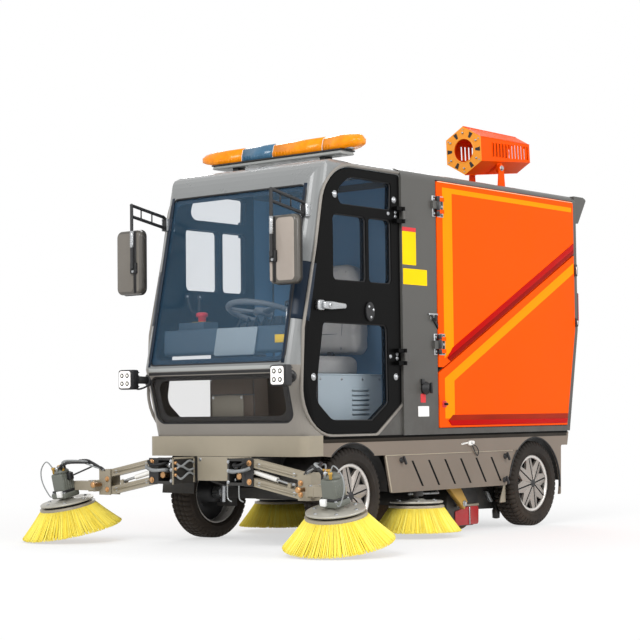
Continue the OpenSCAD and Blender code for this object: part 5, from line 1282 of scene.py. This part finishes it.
for name, side in SIDES:
    head = Piece(side)
    # motor: size, middle, material, edge, steps
    for size, at, mat, edge, steps in (
            ((86, 92, 120), (0, 0, 262), 0, 12, 4), ((112, 112, 30), (0, 0, 200), 0, 8, 3),
            ((36, 30, 40), (-50, 10, 300), 1, 4, 2), ((96, 100, 14), (0, 0, 222), 1, 3, 2),
            ((34, 20, 34), (-20, -60, 212), 7, 3, 2)):
        head.block(size, HEAD @ move(at), mat, edge, steps)
    for k in range(5):
        head.block((90, 6, 70), HEAD @ move((0, -32 + 16 * k, 258)), 0, 1, 1)
    head.lathe([(40, 318), (38, 326), (28, 332), (2, 333)], HEAD, 28)
    head.lathe([(44, 322), (42, 334), (34, 343), (20, 349), (2, 351)], HEAD, 32)
    for x in (-45, 45):
        for y in (-45, 45):
            head.bolt(HEAD @ Vector((x, y, 215)), HEAD.to_3x3() @ Vector(UP), 7, 6, 2)
    head.lathe(NIPPLE, HEAD @ move((20, -36, 325)), 12, 3)
    head.lathe(NIPPLE, HEAD @ move((-10, -36, 325)), 12, 2)
    # thin wire loop on the outer side, hoses back to the bracket
    head.hose(local((20, -36, 355), (55, -45, 395), (105, -50, 350), (110, -52, 280), (75, -50, 205),
                    (50, -48, 200)), 8, 3.5, 8, 4)
    head.hose(local((-66, 10, 300)) + [(835, -600, 400), (790, -592, 415), (740, -585, 408),
                                       (714, -580, 388)], 8, 4.8, 8, 1)
    head.hose(local((-10, -36, 358)) + [(900, -640, 440), (840, -622, 432), (780, -605, 412),
                                        (722, -583, 395)], 8, 4.2, 8, 4)
    for k, (x, z, mat, ripple) in enumerate(((-55, 372, 1, 0.14), (-75, 390, 4, 0.0), (-95, 378, 1, 0.0))):
        head.hose(local((-30, -20 + 12 * k, 345), (x, -30, z)) + [
            (850 - 20 * k, -612 + 8 * k, 446 - 8 * k), (790, -600 + 8 * k, 430 - 6 * k),
            (728, -585 + 6 * k, 396 - 6 * k)], 14, 7.5 - k, 10, mat, ripple)
        head.lathe([(9, 0), (9, 18), (12, 20), (12, 30), (7, 32)], HEAD @ move((-34 + 14 * k, -14, 335)), 6,
                   5 if k == 1 else 3)
    # clamp plates and through bolts of the carrier
    for z in (345, 288):
        head.bolt((694, -586, z), AHEAD, 11, 8, 5)
        head.bolt((694, -504, z), BEHIND, 11, 8, 5)
    for x0, x1 in ((760, 772), (800, 808)):
        head.box((x0, -622, 276), (x1, -538, 338), 6, 3)
    for s in (-612, -548):
        head.bolt((784, s, 332), UP, 8, 7, 2)
    head.lathe([(11, 0), (11, 50), (16, 52), (16, 62), (10, 66)], facing((735, -596, 315), AHEAD), 14, 5)
    head.done("brush_motor_" + name, "motor_green black_plastic steel ochre wire brass trim_grey plate_white",
              "brush_head_" + name, "trim_grey")
    # arms: pressed ribs and bolts
    for body, z in (("arm_upper_" + name, LINK_Z), ("arm_lower_" + name, LINK_Z - LINK_GAP)):
        arm = Piece(side)
        for s in (-574, -516):
            arm.tube([(LINK_X + 40, s, z - 7.5), (LINK_X + LINK_DX - 40, s, z + LINK_DZ + 7.5)], 5)
        for f in (0.16, 0.84):
            arm.bolt((LINK_X + LINK_DX * f, -570, z + LINK_DZ * f), AHEAD, 8, 6, 1)
        arm.done("ribs_" + body, "trim_grey steel", body, "trim_grey")
    # bracket: brass pivot heads, coiled hose, pipes
    bracket = Piece(side)
    for z in (LINK_Z, LINK_Z - LINK_GAP):
        bracket.bolt((LINK_X, -583.5, z), AHEAD, 12, 9)
        bracket.bolt((LINK_X, -506.5, z), BEHIND, 12, 9)
    for z in (342, 400, 446):
        bracket.bolt((206, -585.5, z), AHEAD, 7, 5, 1)
    coil = [(0.9 * t, -470 - 1.5 * t) for t in range(42)]
    bracket.tube([(262 + 24 * math.cos(a), s, 396 + 22 * math.sin(a)) for a, s in coil], 6, 8, 3)
    bracket.hose([(262, -534, 395), (240, -605, 400), (285, -632, 398), (345, -612, 406), (372, -604, 416)],
                 20, 8.5, 10, 3, 0.2)
    bracket.hose([(250, -560, 440), (262, -604, 430), (310, -626, 428), (350, -610, 446)],
                 18, 7.5, 10, 2, 0.16)
    bracket.box((222, -560, 345), (236, -440, 360), 1)
    bracket.lathe([(14, 0), (14, 45), (18, 47), (18, 60), (10, 62)], facing((275, -520, 372), AHEAD), 14, 0)
    bracket.lathe([(12, 0), (12, 35), (16, 37), (16, 50)], facing((240, -520, 425), AHEAD), 14, 1)
    # edges and pipes on the inner plate
    for s0, s1, z0, z1 in ((-584, -572, 322, 466), (-424, -412, 330, 466), (-584, -412, 455, 466)):
        bracket.box((200.5, s0, z0), (196, s1, z1), 4)
    for z, dz in ((436, -18), (404, 14), (372, -20)):
        bracket.hose([(190, -566, z), (184, -530, z + dz), (186, -470, z - dz / 2), (190, -428, z)],
                     8, 6, 8, 3)
        bracket.lathe([(9, 0), (9, 14), (6, 16)], facing((200, -566, z), (-1, 0, 0)), 8)
    bracket.done("bracket_fittings_" + name, "brass steel rubber wire trim_grey", "chassis", "steel")

# Skirts and wheel arches

SLOT_FIRST, SLOT_PITCH = 520, 153
ARCH_R = 276


def arch_arc(x, s, r, degrees):
    return [(x, s + r * math.cos(math.radians(d)), TYRE_R + r * math.sin(math.radians(d))) for d in degrees]


for name, side in SIDES:
    skirt = Piece(side)
    for s, z in ((420, 429), (1426, 425), (1414, 286)):
        m = facing((559, s, z), OUT)
        skirt.lathe([(16, -3), (16, 4), (9, 6), (9, 20)], m, 20)
        skirt.block((14, 52, 14), m @ turn(0.5 * side, "Z") @ move((0, 0, 24)), 0, 5, 3)
    # white hook on the side band with its black loop
    skirt.prism([(1040, 495, 9), (1094, 496, 9), (1108, 522, 9), (1054, 524, 9)], on_side(560), 12, 1, 4, 3)
    skirt.prism([(978, 499, 5), (1046, 507, 4), (1048, 517, 4), (1002, 512, 4), (980, 508, 4)],
                on_side(560), 5, 1, 2)
    skirt.dome((572, 1070, 510), OUT, 7, 5, 2)
    skirt.hose([(570, 1078, 504), (574, 1112, 488), (574, 1132, 462), (566, 1135, 437), (566, 1118, 446),
                (570, 1092, 474), (570, 1076, 500)], 8, 2.8)
    # painted highlight: pale lips on the panel's top and front edges
    skirt.box((555, 280, 455), (561, 1506, 459.5), 3, 1, 1)
    skirt.prism([(277, 458), (287, 458), (336, 262), (326, 258)], on_side(557), 2, 3, 0.8, 1)
    # black trims round the louvre slots
    for s in [SLOT_FIRST + SLOT_PITCH * k for k in range(6)]:
        skirt.prism([(s - 9, 424), (s + 8, 424), (s + 102, 282), (s + 85, 282)], on_side(557.5), 1.2, 4)
    skirt.done("skirt_handles_" + name, "black_plastic white steel skirt_edge door_black", "chassis",
               "black_plastic")
    # plate that closes the rear arch's front side, and the black rim round both arches
    arch = Piece(side)
    ring = [p[1:] for p in arch_arc(0, WHEELBASE, ARCH_R + 1, range(132, 172, 4))]
    arch.prism([(1506, 464), (1560, 464)] + ring + [(1453, 292)], on_side(547), 9, 1, 1, 1)
    for s, a0, a1 in ((0, 50, 130), (WHEELBASE, -6, 170)):
        arch.tube(arch_arc(556, s, ARCH_R, [a0 + (a1 - a0) * k / 36 for k in range(37)]), 6)
    arch.done("arch_trim_" + name, "rubber skirt_grey", "chassis", "black_plastic")

# Under-body

for name, side in SIDES:
    wall = Piece(side)
    wall.box((255, 343, 300), (545, 347, 560), 0, 1, 1)
    wall.box((524, 580, 300), (528, 1400, 486), 0, 1, 1)
    # inner wheel walls above the tyres
    for s in (0, WHEELBASE):
        arc = [math.pi * k / 16 for k in range(17)]
        rows = [(x, s + 316 * math.cos(a), 262 + 300 * math.sin(a)) for x in (300, 540) for a in arc]
        wall.add(rows, [(k, k + 1, 18 + k, 17 + k) for k in range(16)], 0, True)
    # rod over the mid brush with its hangers
    wall.tube([(500, 560, 238), (500, 835, 234)], 7, 10, 1)
    for s in (575, 820):
        wall.box((494, s - 8, 232), (506, s + 8, 330))
    # slanting channel down to the hood, with its bolt
    wall.prism([(985, 262), (1105, 262), (1180, 168), (1148, 124), (1118, 150)], on_side(430), 30, 2, 4)
    wall.bolt((461, 1146, 158), OUT, 13, 9, 3)
    # red end plate of the hood and the bars on it
    wall.prism([(1128, 28, 16), (1362, 28, 16), (1366, 136, 22), (1262, 136, 8), (1128, 112, 10)],
               on_side(402), 6, 4, 3)
    wall.box((409, 1262, 30), (413, 1272, 134), 3, 1, 1)
    wall.box((405, 1140, 136), (414, 1360, 150), 5, 3)
    # triangular bracket before the rear wheel, foot under the frame
    wall.prism([(1425, 152), (1486, 152), (1486, 262), (1470, 262)], on_side(512), 6, 5, 2)
    wall.box((512, 1462, 240), (470, 1486, 300), 0, 3)
    wall.lathe([(10, 0), (22, 4), (24, 50), (18, 60), (16, 190)], move((376, 1591, 46)), 20)
    # frame side plate behind the hood, with its pale hook
    wall.prism([(1372, 112, 14), (1640, 106, 14), (1640, 300, 6), (1372, 300, 6)], on_side(370), 6, 0, 2)
    wall.prism([(1462, 214), (1482, 214), (1532, 152), (1512, 148)], on_side(375), 24, 1, 3)
    wall.done("underbody_" + name, "frame_black steel_pale ochre steel hood_red trim_grey", "chassis",
              "frame_black")

apron = Piece()
apron.prism([(-195, 338, 6), (195, 338, 6), (195, 466), (-195, 466)], on_front(-395), 4, 0, 2)
for x in (-170, 170):
    apron.bolt((x, -399, 450), AHEAD, 7, 5, 1)
for x in (17, 100):
    apron.hose([(x, -388, 340), (x, -388, 262), (x + 8, -388, 240), (x + 30, -388, 230)], 8, 3.8, 8, 2)
    apron.tube([(x, -388, 340), (x, -360, 340)], 3.8, 8, 2)
apron.done("front_apron", "trim_grey steel steel_pale", "chassis", "trim_grey")

# Rear: lamp lenses, ribs and handle of the tailgate, seal and catches

REAR = Matrix(((1, 0, 0, 0), (0, 0, 1, 2245), (0, 1, 0, 0), (0, 0, 0, 1)))
KNEE_Z, KNEE_SLOPE = 1190, 0.184
for name, side in SIDES:
    lenses = Piece(side)
    for z0, z1, mat in ((1243, 1287, 2), (1289, 1361, 0), (1363, 1417, 1)):
        lenses.box((524, 2262, z0), (564, 2271, z1), mat, 4)
        for z in [z0 + 5 + 9 * k for k in range((z1 - z0) // 9)]:
            lenses.box((527, 2270, z), (561, 2273, z + 3), mat, 1, 1)
    lenses.box((520, 2245, 1236), (568, 2258, 1424), 3, 3)
    lenses.done("tail_lens_" + name, "lamp_red amber white black_plastic", "chassis", "lamp_red")

gate = Piece()
for rib in ((-364, 1260, -296, 1740), (296, 1260, 364, 1740), (-220, 1440, 220, 1500),
            (-220, 1600, 220, 1660)):
    gate.prism(rect(*rib, 12), REAR, 6, 0, 5, 3)
gate.hose([(-75, 2175, 806), (-75, 2212, 806), (-60, 2226, 806), (60, 2226, 806), (75, 2212, 806),
           (75, 2175, 806)], 6, 9, 10, 1)
gate.done("tailgate_dress", "body_grey black_plastic", "tailgate", "body_grey")

catches = Piece()
for sgn in (-1, 1):
    x = 505 * sgn
    catches.tube([(x, 2233 + min(0, z - KNEE_Z) * KNEE_SLOPE, z) for z in (612, 900, 1190, 1500, 1838)], 6)
    for z in (700, 1100):
        s = 2245 + (z - KNEE_Z) * KNEE_SLOPE
        catches.box((x + 8 * sgn, s - 2, z - 40), (x + 40 * sgn, s + 10, z + 40), 1, 4)
        catches.box((x + 14 * sgn, s + 9, z - 26), (x + 34 * sgn, s + 20, z + 20), 2, 4)
catches.done("tailgate_catches", "rubber black_plastic steel", "chassis", "black_plastic")

# End

bpy.context.scene.view_settings.view_transform = "Standard"
